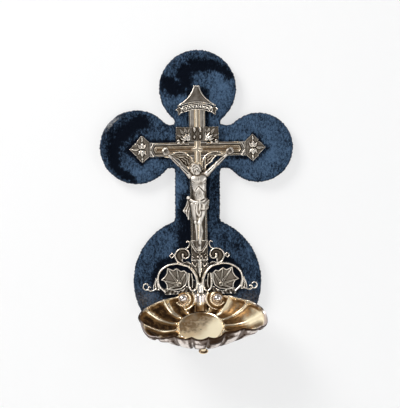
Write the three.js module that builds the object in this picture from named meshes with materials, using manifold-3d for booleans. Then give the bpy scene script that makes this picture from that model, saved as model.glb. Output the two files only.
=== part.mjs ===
// A holy water font that hangs on a wall. A wooden board with three round lobes and a round foot is
// covered in velvet. On it stand a silver cross with its corpus, pierced scrollwork with vine leaves
// and a fluted shell basin. A small ring in the board's back takes the nail.
//
// Millimetres, +Z up, +X to the right as seen. The wall is the plane Y = 0 and the font stands out
// of it towards -Y. The origin lies on the wall behind the middle of the board's cross.
import * as THREE from "three";
import { mergeVertices } from "three/addons/utils/BufferGeometryUtils.js";
import Module from "manifold-3d";

const wasm = await Module();
wasm.setup();

// Outline of the covered board
const topLobeRadius = 27;
const topLobeHeight = 41.3;
const leftLobeRadius = 25.9;
const rightLobeRadius = 24.3;
const sideLobeReach = 42.7;
const footDiscRadius = 44.8;
const footDiscDrop = 93.8;
const neckHalfWidth = 15.75;
const armHalfHeight = 15.1;
const armLift = 0.6;
const notchRadius = 3;

// Layers of the board, from the wall outwards
const liningThickness = 0.6;
const liningInset = 1;
const boardThickness = 5.4;
const boardEdgeRadius = 1.8;
const velvetThickness = 1.2;
const velvetClearance = 0.1;

// Hanger in the board's back
const hangerHeight = 46;
const ringRadius = 6;
const ringWireRadius = 0.8;
const hingeDepth = 2;
const eyeBoreRadius = 1.2;
const eyeWall = 0.55;
const eyeLength = 3;
const hangerPlateThickness = 0.6;
const hangerPlateHalfHeight = 2.6;
const hangerScrewReach = 9.5;
const hangerScrewHeadRadius = 1.3;
const hangerScrewHeadHeight = 0.7;
const hangerScrewRadius = 0.6;
const hangerScrewLength = 1.7;
const hangerClearance = 0.05;
const pocketClearance = 1;

// Threaded posts that hold the silver on the board, and their nuts
const postRadius = 1;
const postClearance = 0.1;
const postTailLength = 1.9;
const nutRadius = 2.4;
const nutHeight = 1.4;
const nutPocketClearance = 0.5;
const postReach = 29;
const topPostHeight = 24;
const basinPostBelowRim = 7.4;

// Silver cross
const plaqueTilt = 1.1;
const crossThickness = 2.2;
const borderHeight = 0.7;
const borderWidth = 1.2;
const uprightHalfWidth = 6.2;
const uprightTop = 30.4;
const uprightPastNail = 3.5;
const beamHalfWidth = 5.3;
const beamHalfLength = 33.5;
const beamDrop = 1.6;
const inlayHalfWidth = 1.9;
const inlayRise = 0.8;
const lapHeight = 0.8;
const jointGap = 0.12;
const finialLength = 13.8;
const finialHalfHeight = 9;
const finialThickness = 2;

// Gable cap, titulus and corner leaves
const gableHalfWidth = 13.7;
const gableHeight = 13;
const gableApexHalfWidth = 1.6;
const gableThickness = 2.6;
const titulusHalfWidth = 10.5;
const titulusHeight = 3.8;
const titulusArch = 1.5;
const titulusThickness = 1.2;
const titulusTail = 3.6;
const cornerLeafInner = 4.5;
const cornerLeafOuter = 14.9;
const cornerLeafHeight = 10.2;
const cornerLeafThickness = 1.3;
const webRadius = 8.6;
const webRim = 2.2;
const webThickness = 1.6;

// Corpus, with its nails
const corpusLift = 0.35;
const shoulderDrop = 19.4;
const shoulderHalfWidth = 5.4;
const handReach = 22.3;
const handDrop = 3;
const elbowReach = 12.7;
const elbowDrop = 12.1;
const headDrop = 14.8;
const headOffset = -1.9;
const headRadius = 3.1;
const chestDepth = 5.6;
const hipDrop = 40.5;
const hipHalfWidth = 5.6;
const kneeDrop = 52.6;
const footDrop = 68.6;
const armRadius = 1.5;
const thighRadius = 2.8;
const shinRadius = 1.5;
const nailRadius = 0.45;
const nailHeadRadius = 0.95;
const nailHeadHeight = 0.5;
const nailClearance = 0.1;

// Scrollwork below the cross
const wireRadius = 0.8;
const voluteCentreX = 11.3;
const voluteBelowCross = 3.2;
const voluteStartRadius = 6.3;
const voluteEndRadius = 1.2;
const beadRadius = 1.3;
const tendrilHeight = 5.6;
const budHalfSize = 2.3;
const ringScrollX = 18.1;
const ringBelowVolute = 17.3;
const ringScrollRadius = 11.1;
const loopWidth = 6.3;
const loopHeight = 15;
const stemWaistHalfWidth = 0.7;
const stemHeadHalfWidth = 3.3;
const scrollAboveRim = 0.4;
const calyxSpread = 7.4;
const calyxRise = 8;
const calyxThickness = 1;
const leafReach = 13.4;
const leafThickness = 1.4;
const tailLeafWidth = 3.6;
const tailLeafHeight = 8;
const tailReach = 7.2;
const tailCurlRadius = 2.4;

// Fluted shell basin
const basinTilt = 26;
const rimBelowRing = 10;
const basinStandOff = 2.3;
const basinHalfWidth = 43.6;
const basinHalfDepth = 29;
const basinSquareness = 1.9;
const basinShift = 1.4;
const basinThickness = 1.5;
const wellRadius = 15.2;
const wellSetBack = 24;
const wellDepth = 12;
const wellSlope = 0.14;
const bowlFullness = 2.6;
const wellDish = 0.8;
const fluteCount = 16;
const fluteTurn = 4;
const fluteDepth = 1.5;
const rimLobe = 1;
const dentHeight = 3.8;
const dentTurn = 50;
const dentSpread = 18;
const ballRadius = 3.5;
const ballReach = 12;
const neckWidth = 8.2;
const neckDepth = 3;
const knobRadius = 3.2;
const knobHeight = 3.4;
const knobForward = 6.8;
const bracketHalfWidth = 13;
const bracketHeight = 17;
const bracketThickness = 1;
const seatGap = 0.3;

// Depths in front of the wall that more than one piece shares
const boardFront = liningThickness + boardThickness;
const velvetFront = boardFront + velvetThickness;
const crossFront = velvetFront + crossThickness;
const panelFront = crossFront - borderHeight;
const pocketFloor = hingeDepth + eyeBoreRadius + eyeWall;
const corpusBack = panelFront + inlayRise + corpusLift;

// Drops below the crossing, each one from the piece above it
const uprightFoot = footDrop + uprightPastNail;
const voluteCentreDrop = uprightFoot + voluteBelowCross;
const ringScrollDrop = voluteCentreDrop + ringBelowVolute;
const basinRimDrop = ringScrollDrop + rimBelowRing;
const scrollFoot = basinRimDrop - scrollAboveRim;
const basinPostDrop = basinRimDrop + basinPostBelowRim;

// A cutter's reach, past the end of anything that it cuts
const cutterReach = 200;

// Solids

// A solid from a closed geometry.
function solid(geometry) {
  const bare = geometry.clone();
  bare.deleteAttribute("normal");
  bare.deleteAttribute("uv");
  const merged = mergeVertices(bare, 1e-4);
  const mesh = new wasm.Mesh({
    numProp: 3,
    vertProperties: merged.attributes.position.array,
    triVerts: new Uint32Array(merged.index.array),
  });
  return new wasm.Manifold(mesh);
}

function union(solids) {
  return solids.reduce((whole, piece) => whole.add(piece));
}

function subtract(whole, cutters) {
  return cutters.reduce((rest, cutter) => rest.subtract(cutter), whole);
}

function geometryOf(manifold) {
  const mesh = manifold.getMesh();
  const geometry = new THREE.BufferGeometry();
  geometry.setAttribute("position", new THREE.BufferAttribute(mesh.vertProperties, 3));
  geometry.setIndex(new THREE.BufferAttribute(mesh.triVerts, 1));
  return geometry;
}

// A flat plate with the outline of a shape, between two depths.
function plate(shape, back, front, curveSegments = 10) {
  const geometry = new THREE.ExtrudeGeometry(shape, {
    depth: front - back,
    bevelEnabled: false,
    curveSegments,
  });
  return solid(geometry.translate(0, 0, back));
}

function outline(points) {
  return new THREE.Shape(points.map(([x, y]) => new THREE.Vector2(x, y)));
}

function box(x0, x1, y0, y1, z0, z1) {
  const geometry = new THREE.BoxGeometry(x1 - x0, y1 - y0, z1 - z0);
  return solid(geometry.translate((x0 + x1) / 2, (y0 + y1) / 2, (z0 + z1) / 2));
}

// A rod of a given radius that runs along Z.
function rod(x, y, radius, z0, z1, segments = 20) {
  const geometry = new THREE.CylinderGeometry(radius, radius, z1 - z0, segments);
  return solid(geometry.rotateX(Math.PI / 2).translate(x, y, (z0 + z1) / 2));
}

function ball(x, y, z, radius, segments = 16) {
  const geometry = new THREE.SphereGeometry(radius, segments, Math.round(segments * 0.6));
  return solid(geometry.translate(x, y, z));
}

// A round wire along a list of points.
function wire(points, radius, steps, sides = 6) {
  const section = new THREE.Shape();
  for (let side = 0; side < sides; side += 1) {
    const angle = (side * 2 * Math.PI) / sides;
    const corner = [radius * Math.cos(angle), radius * Math.sin(angle)];
    if (side === 0) section.moveTo(...corner);
    else section.lineTo(...corner);
  }
  const curve = new THREE.CatmullRomCurve3(points.map((point) => new THREE.Vector3(...point)));
  return solid(new THREE.ExtrudeGeometry(section, { steps, bevelEnabled: false, extrudePath: curve }));
}

// The mirror image of a solid across the plane x = 0.
function mirrored(manifold) {
  return manifold.mirror([1, 0, 0]);
}

// Materials

function material(color, roughness, metalness) {
  return new THREE.MeshStandardMaterial({ color, roughness, metalness });
}

const silver = material(0xb9b3a8, 0.35, 1);
const darkSilver = material(0x8c867c, 0.45, 1);
const gilt = material(0xb98f4e, 0.32, 1);
const brass = material(0xb59a5a, 0.4, 1);
const steel = material(0x9a9a98, 0.4, 1);
const velvet = material(0x1c2c4c, 0.95, 0);
const wood = material(0x8a6a48, 0.8, 0);
const lining = material(0x2a2624, 0.9, 0);

// Everything is drawn with X to the right, Y up and Z out of the wall, and this group turns that
// round to the frame of the part. The silver hangs a little out of true in a group of its own.
const font = new THREE.Group();
font.name = "holy_water_font";
font.rotation.x = Math.PI / 2;
const plaque = new THREE.Group();
plaque.rotation.z = THREE.MathUtils.degToRad(plaqueTilt);
font.add(plaque);

function place(group, name, manifold, look) {
  const mesh = new THREE.Mesh(geometryOf(manifold), look);
  mesh.name = name;
  group.add(mesh);
}

// Cutters for the board come from the silver's own group, so they carry its tilt.
function inBoard(manifold) {
  return manifold.rotate([0, 0, plaqueTilt]);
}

// Board

const discSides = 36;

// A disc whose front edge is rounded.
function roundedDisc(x, y, radius, back, front, edge, edgeSteps) {
  if (edge === 0) return rod(x, y, radius, back, front, discSides);
  const profile = [new THREE.Vector2(0, back), new THREE.Vector2(radius, back)];
  for (let step = 0; step <= edgeSteps; step += 1) {
    const angle = (step * Math.PI) / 2 / edgeSteps;
    const reach = radius - edge + edge * Math.cos(angle);
    profile.push(new THREE.Vector2(reach, front - edge + edge * Math.sin(angle)));
  }
  profile.push(new THREE.Vector2(0, front));
  const geometry = new THREE.LatheGeometry(profile, discSides);
  return solid(geometry.rotateX(Math.PI / 2).translate(x, y, 0));
}

// A bar whose two front edges are rounded. The matrix takes its section and length to their places.
function roundedBar(halfWidth, length, back, front, edge, edgeSteps, matrix) {
  const section = new THREE.Shape();
  section.moveTo(-halfWidth, back);
  section.lineTo(halfWidth, back);
  section.lineTo(halfWidth, front - edge);
  if (edge > 0) {
    section.absarc(halfWidth - edge, front - edge, edge, 0, Math.PI / 2, false);
    section.absarc(edge - halfWidth, front - edge, edge, Math.PI / 2, Math.PI, false);
  } else {
    section.lineTo(-halfWidth, front);
  }
  section.closePath();
  const geometry = new THREE.ExtrudeGeometry(section, {
    depth: length,
    bevelEnabled: false,
    curveSegments: edgeSteps,
  });
  return solid(geometry.applyMatrix4(matrix));
}

// The board's whole outline, drawn in by an inset, between two depths.
function boardBlank(inset, back, front, edge, edgeSteps = 1) {
  const right = new THREE.Vector3(1, 0, 0);
  const up = new THREE.Vector3(0, 1, 0);
  const out = new THREE.Vector3(0, 0, 1);
  const neck = new THREE.Matrix4().makeBasis(right, out, up.clone().negate());
  neck.setPosition(0, topLobeHeight, 0);
  const arms = new THREE.Matrix4().makeBasis(up, out, right);
  arms.setPosition(-sideLobeReach, armLift, 0);
  const disc = (x, y, radius) =>
    roundedDisc(x, y, radius - inset, back, front, edge, edgeSteps);
  const bar = (halfWidth, length, matrix) =>
    roundedBar(halfWidth - inset, length, back, front, edge, edgeSteps, matrix);
  const blank = union([
    disc(0, topLobeHeight, topLobeRadius),
    disc(-sideLobeReach, 0, leftLobeRadius),
    disc(sideLobeReach, 0, rightLobeRadius),
    disc(0, -footDiscDrop, footDiscRadius),
    bar(neckHalfWidth, topLobeHeight + footDiscDrop, neck),
    bar(armHalfHeight, 2 * sideLobeReach, arms),
  ]);
  return blank.add(notchFillets(inset, back, front - edge));
}

// The two upper corners between neck and arms are rounded out.
function notchFillets(inset, back, front) {
  const x = neckHalfWidth + notchRadius;
  const y = armLift + armHalfHeight + notchRadius;
  const corner = box(0, x, armLift, y, back, front);
  const round = rod(x, y, notchRadius + inset, back - 1, front + 1, 28);
  const fillet = corner.subtract(round);
  return fillet.add(mirrored(fillet));
}

const posts = [
  { name: "top", x: 0, y: topPostHeight },
  { name: "left", x: -postReach, y: -beamDrop },
  { name: "right", x: postReach, y: -beamDrop },
  { name: "basin", x: 0, y: -basinPostDrop },
];
const nutBack = liningThickness + postTailLength - nutHeight;
const nutPocketFloor = nutBack + nutHeight;

const postHoles = posts.map(({ x, y }) =>
  inBoard(rod(x, y, postRadius + postClearance, -1, velvetFront + 1)),
);
const nutPockets = posts.map(({ x, y }) =>
  inBoard(rod(x, y, nutRadius + nutPocketClearance, liningThickness - 1, nutPocketFloor)),
);

// The hanger's pocket is a slot for the ring, crossed by a slot for the plate.
const ringSlotHalfWidth = ringRadius + ringWireRadius + pocketClearance;
const ringSlotReach = 2 * ringRadius + ringWireRadius + pocketClearance;
const plateHalfWidth = hangerScrewReach + hangerScrewHeadRadius + pocketClearance;
const plateSlotHalfWidth = plateHalfWidth + hangerClearance;
const plateSlotHalfHeight = hangerPlateHalfHeight + hangerClearance;
const hangerPocket = union([
  box(
    -ringSlotHalfWidth,
    ringSlotHalfWidth,
    hangerHeight - ringSlotReach,
    hangerHeight + ringSlotReach,
    -1,
    pocketFloor,
  ),
  box(
    -plateSlotHalfWidth,
    plateSlotHalfWidth,
    hangerHeight - plateSlotHalfHeight,
    hangerHeight + plateSlotHalfHeight,
    -1,
    pocketFloor,
  ),
]);
const hangerScrewTip = pocketFloor + hangerScrewLength;
const hangerScrewHoles = [-1, 1].map((side) =>
  rod(
    side * hangerScrewReach,
    hangerHeight,
    hangerScrewRadius + hangerClearance,
    -1,
    hangerScrewTip + hangerClearance,
    12,
  ),
);

const board = boardBlank(
  velvetThickness + velvetClearance,
  liningThickness,
  boardFront,
  boardEdgeRadius,
);
place(
  font,
  "backing_board",
  subtract(board, [...postHoles, ...nutPockets, hangerPocket, ...hangerScrewHoles]),
  wood,
);

const coverEdgeRadius = boardEdgeRadius + velvetThickness;
const cover = boardBlank(0, liningThickness, velvetFront, coverEdgeRadius, 3);
const coverPocket = boardBlank(velvetThickness, liningThickness - 1, boardFront, boardEdgeRadius);
place(font, "velvet_cover", subtract(cover, [coverPocket, ...postHoles]), velvet);

const liningSheet = boardBlank(liningInset, 0, liningThickness, 0);
place(font, "back_lining", subtract(liningSheet, [hangerPocket]), lining);

// Hanger

const eyeRadius = eyeBoreRadius + eyeWall;
const eye = solid(
  new THREE.CylinderGeometry(eyeRadius, eyeRadius, eyeLength, 20)
    .rotateZ(Math.PI / 2)
    .translate(0, hangerHeight, hingeDepth),
);
const eyeBore = solid(
  new THREE.CylinderGeometry(eyeBoreRadius, eyeBoreRadius, eyeLength + 2, 20)
    .rotateZ(Math.PI / 2)
    .translate(0, hangerHeight, hingeDepth),
);
const hangerStrap = box(
  -plateHalfWidth,
  plateHalfWidth,
  hangerHeight - hangerPlateHalfHeight,
  hangerHeight + hangerPlateHalfHeight,
  pocketFloor - hangerPlateThickness,
  pocketFloor,
);
place(
  font,
  "hanger_plate",
  subtract(hangerStrap.add(eye), [eyeBore, ...hangerScrewHoles]),
  brass,
);

const ring = new THREE.TorusGeometry(ringRadius, ringWireRadius, 8, 28);
place(
  font,
  "hanging_ring",
  solid(ring.translate(0, hangerHeight - ringRadius, hingeDepth)),
  brass,
);

for (const [name, side] of [
  ["hanger_screw_left", -1],
  ["hanger_screw_right", 1],
]) {
  const seat = pocketFloor - hangerPlateThickness;
  const x = side * hangerScrewReach;
  const head = rod(x, hangerHeight, hangerScrewHeadRadius, seat - hangerScrewHeadHeight, seat, 14);
  const shank = rod(x, hangerHeight, hangerScrewRadius, seat - 0.1, hangerScrewTip, 12);
  place(font, name, head.add(shank), brass);
}

// Posts and nuts
for (const { name, x, y } of posts) {
  const nut = rod(x, y, nutRadius, nutBack, nutPocketFloor, 6);
  const bore = rod(x, y, postRadius + postClearance, nutBack - 1, nutPocketFloor + 1);
  place(plaque, `post_${name}`, rod(x, y, postRadius, liningThickness + 0.1, velvetFront), steel);
  place(plaque, `nut_${name}`, nut.subtract(bore), brass);
}

// Nails: each one's place and the piece behind it

const nails = [
  { name: "hand_nail_left", x: -handReach, y: -handDrop },
  { name: "hand_nail_right", x: handReach, y: -handDrop },
  { name: "foot_nail", x: 0, y: -footDrop },
];
const nailTip = velvetFront + lapHeight;
const nailHoles = nails.map(({ x, y }) =>
  rod(x, y, nailRadius + nailClearance, nailTip - nailClearance, cutterReach, 10),
);

// Cross

// The section of a cross strip: a flat back, a raised border each side and a sunk panel between.
function stripSection(halfWidth) {
  return outline([
    [-halfWidth, velvetFront],
    [halfWidth, velvetFront],
    [halfWidth, crossFront - borderHeight / 2],
    [halfWidth - borderWidth / 3, crossFront],
    [halfWidth - borderWidth, crossFront],
    [halfWidth - borderWidth * 1.2, panelFront],
    [borderWidth * 1.2 - halfWidth, panelFront],
    [borderWidth - halfWidth, crossFront],
    [borderWidth / 3 - halfWidth, crossFront],
    [-halfWidth, crossFront - borderHeight / 2],
  ]);
}

function upStrip(section, bottom, top) {
  const geometry = new THREE.ExtrudeGeometry(section, { depth: top - bottom, bevelEnabled: false });
  return solid(geometry.rotateX(Math.PI / 2).translate(0, top, 0));
}

function acrossStrip(section, halfLength) {
  const geometry = new THREE.ExtrudeGeometry(section, {
    depth: 2 * halfLength,
    bevelEnabled: false,
  });
  const right = new THREE.Vector3(1, 0, 0);
  const up = new THREE.Vector3(0, 1, 0);
  const out = new THREE.Vector3(0, 0, 1);
  const turned = new THREE.Matrix4().makeBasis(up, out, right);
  turned.setPosition(-halfLength, -beamDrop, 0);
  return solid(geometry.applyMatrix4(turned));
}

const beamTop = beamHalfWidth - beamDrop;
const beamBottom = -beamHalfWidth - beamDrop;
const lapFront = velvetFront + lapHeight;
const uprightLap = box(
  -uprightHalfWidth - 1,
  uprightHalfWidth + 1,
  beamBottom - jointGap,
  beamTop + jointGap,
  lapFront,
  crossFront + 1,
);
const beamLap = box(
  -uprightHalfWidth - jointGap,
  uprightHalfWidth + jointGap,
  beamBottom - 1,
  beamTop + 1,
  velvetFront - 1,
  lapFront,
);
const crossingPanel = box(
  borderWidth - uprightHalfWidth,
  uprightHalfWidth - borderWidth,
  beamBottom - 1,
  beamTop + 1,
  panelFront,
  crossFront + 1,
);
const upright = upStrip(stripSection(uprightHalfWidth), -uprightFoot, uprightTop);
place(plaque, "cross_upright", subtract(upright, [uprightLap, nailHoles[2]]), silver);
const beam = acrossStrip(stripSection(beamHalfWidth), beamHalfLength);
place(plaque, "cross_beam", subtract(beam, [beamLap, crossingPanel, ...nailHoles]), silver);

const ridge = outline([
  [-inlayHalfWidth, panelFront],
  [inlayHalfWidth, panelFront],
  [inlayHalfWidth, panelFront + inlayRise / 3],
  [0, panelFront + inlayRise],
  [-inlayHalfWidth, panelFront + inlayRise / 3],
]);
const inlay = upStrip(ridge, -uprightFoot, uprightTop).add(acrossStrip(ridge, beamHalfLength));
place(plaque, "gilt_inlay", subtract(inlay, nailHoles), gilt);

// Each beam end carries a kite with two small square lobes and a point.
const finialStart = beamHalfLength + jointGap;
const finialOutline = [
  [0, beamHalfWidth],
  [finialLength * 0.36, finialHalfHeight],
  [finialLength * 0.62, finialHalfHeight * 0.6],
  [finialLength * 0.72, finialHalfHeight * 0.66],
  [finialLength * 0.82, finialHalfHeight * 0.36],
  [finialLength, 0],
];
const finialPoints = [
  ...finialOutline.map(([x, y]) => [finialStart + x, y - beamDrop]),
  ...finialOutline
    .slice(0, -1)
    .reverse()
    .map(([x, y]) => [finialStart + x, -y - beamDrop]),
];
const finialPlate = plate(outline(finialPoints.reverse()), velvetFront, velvetFront + finialThickness);
const finialBoss = solid(
  new THREE.ConeGeometry(finialHalfHeight * 0.42, finialThickness * 0.5, 4)
    .rotateX(Math.PI / 2)
    .scale(1.3, 1, 1)
    .translate(
      finialStart + finialLength * 0.42,
      -beamDrop,
      velvetFront + finialThickness * 1.24,
    ),
);
const finial = finialPlate.add(finialBoss);
place(plaque, "finial_right", finial, silver);
place(plaque, "finial_left", mirrored(finial), silver);

// Gable cap over the upright, and the titulus across its foot
const gableFoot = uprightTop + jointGap;
const gable = new THREE.Shape();
gable.moveTo(-gableHalfWidth, gableFoot - 1.2);
gable.quadraticCurveTo(0, gableFoot + 1.3, gableHalfWidth, gableFoot - 1.2);
gable.quadraticCurveTo(
  gableApexHalfWidth * 2.4,
  gableFoot + gableHeight * 0.36,
  gableApexHalfWidth,
  gableFoot + gableHeight,
);
gable.lineTo(-gableApexHalfWidth, gableFoot + gableHeight);
gable.quadraticCurveTo(
  -gableApexHalfWidth * 2.4,
  gableFoot + gableHeight * 0.36,
  -gableHalfWidth,
  gableFoot - 1.2,
);
const gablePlate = plate(gable, velvetFront, velvetFront + gableThickness);
const gableClear = box(
  -uprightHalfWidth - jointGap,
  uprightHalfWidth + jointGap,
  0,
  gableFoot,
  velvetFront - 1,
  velvetFront + gableThickness + 1,
);
place(plaque, "gable_cap", gablePlate.subtract(gableClear), silver);

const titulusTop = uprightTop - 0.6;
const titulus = new THREE.Shape();
titulus.moveTo(-titulusHalfWidth, titulusTop - titulusArch - titulusHeight);
titulus.quadraticCurveTo(
  0,
  titulusTop + titulusArch - titulusHeight,
  titulusHalfWidth,
  titulusTop - titulusArch - titulusHeight,
);
titulus.lineTo(titulusHalfWidth + titulusTail * 0.4, titulusTop - titulusArch - titulusHeight - 1.6);
titulus.lineTo(titulusHalfWidth + titulusTail * 0.6, titulusTop - titulusArch - titulusHeight * 0.6);
titulus.lineTo(titulusHalfWidth + titulusTail, titulusTop - titulusArch - titulusHeight * 0.4);
titulus.lineTo(titulusHalfWidth, titulusTop - titulusArch);
titulus.quadraticCurveTo(0, titulusTop + titulusArch, -titulusHalfWidth, titulusTop - titulusArch);
titulus.lineTo(-titulusHalfWidth - titulusTail, titulusTop - titulusArch - titulusHeight * 0.4);
titulus.lineTo(-titulusHalfWidth - titulusTail * 0.6, titulusTop - titulusArch - titulusHeight * 0.6);
titulus.lineTo(-titulusHalfWidth - titulusTail * 0.4, titulusTop - titulusArch - titulusHeight - 1.6);
const titulusBack = crossFront + inlayRise - borderHeight + 0.02;
place(
  plaque,
  "titulus_scroll",
  plate(titulus, titulusBack, titulusBack + titulusThickness),
  darkSilver,
);

// Corner leaves: a square palmette whose ribs spread from the cross's inner corner.
const cornerLeafFoot = beamTop - 0.6;
const leafTeeth = 4;
const cornerPoints = [[cornerLeafInner, cornerLeafFoot]];
for (let tooth = 0; tooth <= 2 * leafTeeth; tooth += 1) {
  const angle = (tooth * Math.PI) / 4 / leafTeeth;
  const bite = tooth % 2 ? 0.88 : 1;
  const reach = 1 / Math.max(Math.cos(angle), Math.sin(angle));
  cornerPoints.push([
    cornerLeafInner + bite * reach * (cornerLeafOuter - cornerLeafInner) * Math.cos(angle),
    cornerLeafFoot + bite * reach * cornerLeafHeight * Math.sin(angle),
  ]);
}
const cornerLeaf = plate(outline(cornerPoints), crossFront, crossFront + cornerLeafThickness);
place(plaque, "corner_leaf_right", cornerLeaf, silver);
place(plaque, "corner_leaf_left", mirrored(cornerLeaf), silver);

// Webs that fill the two lower corners of the cross with a hollow curve.
const webInner = uprightHalfWidth + jointGap;
const webTop = beamBottom - jointGap;
const web = new THREE.Shape();
web.moveTo(webInner, webTop);
web.lineTo(webInner, webTop - webRadius - webRim);
web.lineTo(webInner + webRim * 0.4, webTop - webRadius - webRim);
web.absarc(
  webInner + webRadius + webRim,
  webTop - webRadius - webRim,
  webRadius + webRim * 0.6,
  Math.PI,
  Math.PI / 2,
  true,
);
web.lineTo(webInner + webRadius + webRim, webTop);
web.closePath();
const webPlate = plate(web, velvetFront, velvetFront + webThickness);
place(plaque, "lower_web_right", webPlate, darkSilver);
place(plaque, "lower_web_left", mirrored(webPlate), darkSilver);

// Corpus

function at(x, y, z) {
  return new THREE.Vector3(x, y, z);
}

// A limb that tapers from one round end to another.
function limb(start, end, startRadius, endRadius) {
  const length = start.distanceTo(end);
  const cone = new THREE.CylinderGeometry(endRadius, startRadius, length, 6);
  cone.translate(0, length / 2, 0);
  const direction = end.clone().sub(start).normalize();
  const turn = new THREE.Quaternion().setFromUnitVectors(at(0, 1, 0), direction);
  cone.applyQuaternion(turn).translate(start.x, start.y, start.z);
  return union([
    solid(cone),
    ball(start.x, start.y, start.z, startRadius, 6),
    ball(end.x, end.y, end.z, endRadius, 6),
  ]);
}

function egg(centre, rx, ry, rz) {
  const geometry = new THREE.SphereGeometry(1, 10, 7).scale(rx, ry, rz);
  return solid(geometry.translate(centre.x, centre.y, centre.z));
}

const bodyDepth = corpusBack + chestDepth / 2;
const handDepth = corpusBack + armRadius;
const footDepth = corpusBack + shinRadius;
const kneeDepth = bodyDepth + thighRadius * 0.6;
const corpusParts = [
  egg(at(headOffset, -headDrop, bodyDepth + headRadius), headRadius, headRadius * 1.25, headRadius),
  limb(
    at(headOffset / 2, -headDrop - headRadius, bodyDepth + 1.4),
    at(0, -shoulderDrop - 1.5, bodyDepth),
    headRadius * 0.5,
    headRadius * 0.6,
  ),
  egg(at(0.2, -shoulderDrop - 5, bodyDepth), shoulderHalfWidth, 6.4, chestDepth / 2),
  egg(at(0.8, -shoulderDrop - 13, bodyDepth), shoulderHalfWidth * 0.84, 7.4, chestDepth * 0.42),
  egg(at(0.6, -hipDrop, bodyDepth + 0.2), hipHalfWidth, 5.6, chestDepth * 0.56),
  limb(
    at(-2, -hipDrop - 2, bodyDepth),
    at(-2.2, -kneeDrop, kneeDepth),
    thighRadius,
    shinRadius * 1.25,
  ),
  limb(
    at(2, -hipDrop - 2, bodyDepth),
    at(0.6, -kneeDrop - 1.4, kneeDepth),
    thighRadius,
    shinRadius * 1.25,
  ),
  limb(
    at(-2.2, -kneeDrop, kneeDepth),
    at(-0.6, -footDrop + 3, footDepth + 1),
    shinRadius * 1.25,
    shinRadius * 0.8,
  ),
  limb(
    at(0.6, -kneeDrop - 1.4, kneeDepth),
    at(0.5, -footDrop + 3, footDepth + 0.6),
    shinRadius * 1.25,
    shinRadius * 0.8,
  ),
  limb(
    at(0, -footDrop + 3, footDepth + 0.8),
    at(0, -footDrop - 2.6, footDepth + 1),
    shinRadius,
    shinRadius * 0.9,
  ),
  limb(at(1.4 - hipHalfWidth, -hipDrop + 3, bodyDepth), at(-8.6, -hipDrop - 4, bodyDepth), 1.6, 1.2),
  limb(at(-8.6, -hipDrop - 4, bodyDepth), at(-7.5, -hipDrop - 9.4, bodyDepth), 1.2, 1.5),
];
for (const side of [-1, 1]) {
  const shoulder = at(side * (shoulderHalfWidth - 1), -shoulderDrop, bodyDepth);
  const elbow = at(side * elbowReach, -elbowDrop, handDepth + 0.8);
  const wrist = at(side * (handReach - 1.8), -handDrop - 1, handDepth + 0.2);
  const fingers = at(side * (handReach + 1.2), -handDrop + 0.4, handDepth);
  corpusParts.push(limb(shoulder, elbow, armRadius * 1.35, armRadius));
  corpusParts.push(limb(elbow, wrist, armRadius, armRadius * 0.65));
  corpusParts.push(limb(wrist, fingers, armRadius * 0.85, armRadius * 0.8));
}
const corpusFlat = box(-cutterReach, cutterReach, -cutterReach, cutterReach, 0, corpusBack);
place(plaque, "corpus", subtract(union(corpusParts), [corpusFlat, ...nailHoles]), silver);

const nailSeat = handDepth + armRadius + 0.1;
const footNailSeat = footDepth + 1 + shinRadius + 0.1;
for (const { name, x, y } of nails) {
  const seat = name === "foot_nail" ? footNailSeat : nailSeat;
  const shank = rod(x, y, nailRadius, nailTip, seat + 0.1, 10);
  const head = rod(x, y, nailHeadRadius, seat, seat + nailHeadHeight, 12);
  place(plaque, name, shank.add(head), darkSilver);
}

// Scrollwork

const wireDepth = velvetFront + wireRadius;

// The calyx: two long leaves that spread from the stem's head round the feet.
const calyxSide = [
  [calyxSpread * 0.4, -uprightFoot - calyxRise * 0.2],
  [calyxSpread, -uprightFoot + calyxRise],
  [calyxSpread * 0.76, -uprightFoot + calyxRise * 0.88],
  [calyxSpread * 0.31, -uprightFoot - calyxRise * 0.05],
];
const calyx = outline([
  [0, -uprightFoot - calyxRise * 0.58],
  ...calyxSide,
  [0, -uprightFoot - calyxRise * 0.25],
  ...calyxSide
    .slice()
    .reverse()
    .map(([x, y]) => [-x, y]),
]);
const calyxBack = panelFront + inlayRise;
place(plaque, "foot_calyx", plate(calyx, calyxBack, calyxBack + calyxThickness), silver);

// The stem narrows between the scrolls and swells again at the basin. Its head carries the calyx.
const stemTop = uprightFoot + jointGap;
const loopInnerX = stemWaistHalfWidth + jointGap + wireRadius;
const loopMiddleX = loopInnerX + loopWidth / 2;
const loopBottom = scrollFoot - wireRadius - jointGap;
const loopMiddle = loopBottom - loopHeight * 0.4;
const stemSide = [
  [stemHeadHalfWidth * 0.9, -stemTop],
  [stemHeadHalfWidth, -stemTop - 7.8],
  [stemHeadHalfWidth * 0.9, -loopBottom + loopHeight * 1.14],
  [stemWaistHalfWidth * 1.8, -loopBottom + loopHeight * 0.82],
  [stemWaistHalfWidth, -loopMiddle + loopHeight * 0.16],
  [stemWaistHalfWidth, -loopMiddle - loopHeight * 0.1],
  [stemWaistHalfWidth * 1.6, -loopBottom + loopHeight * 0.06],
  [stemWaistHalfWidth * 3, -scrollFoot],
];
const stemOutline = outline([...stemSide.map(([x, y]) => [-x, y]), ...stemSide.slice().reverse()]);
place(plaque, "scroll_stem", plate(stemOutline, velvetFront, calyxBack), silver);

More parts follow.
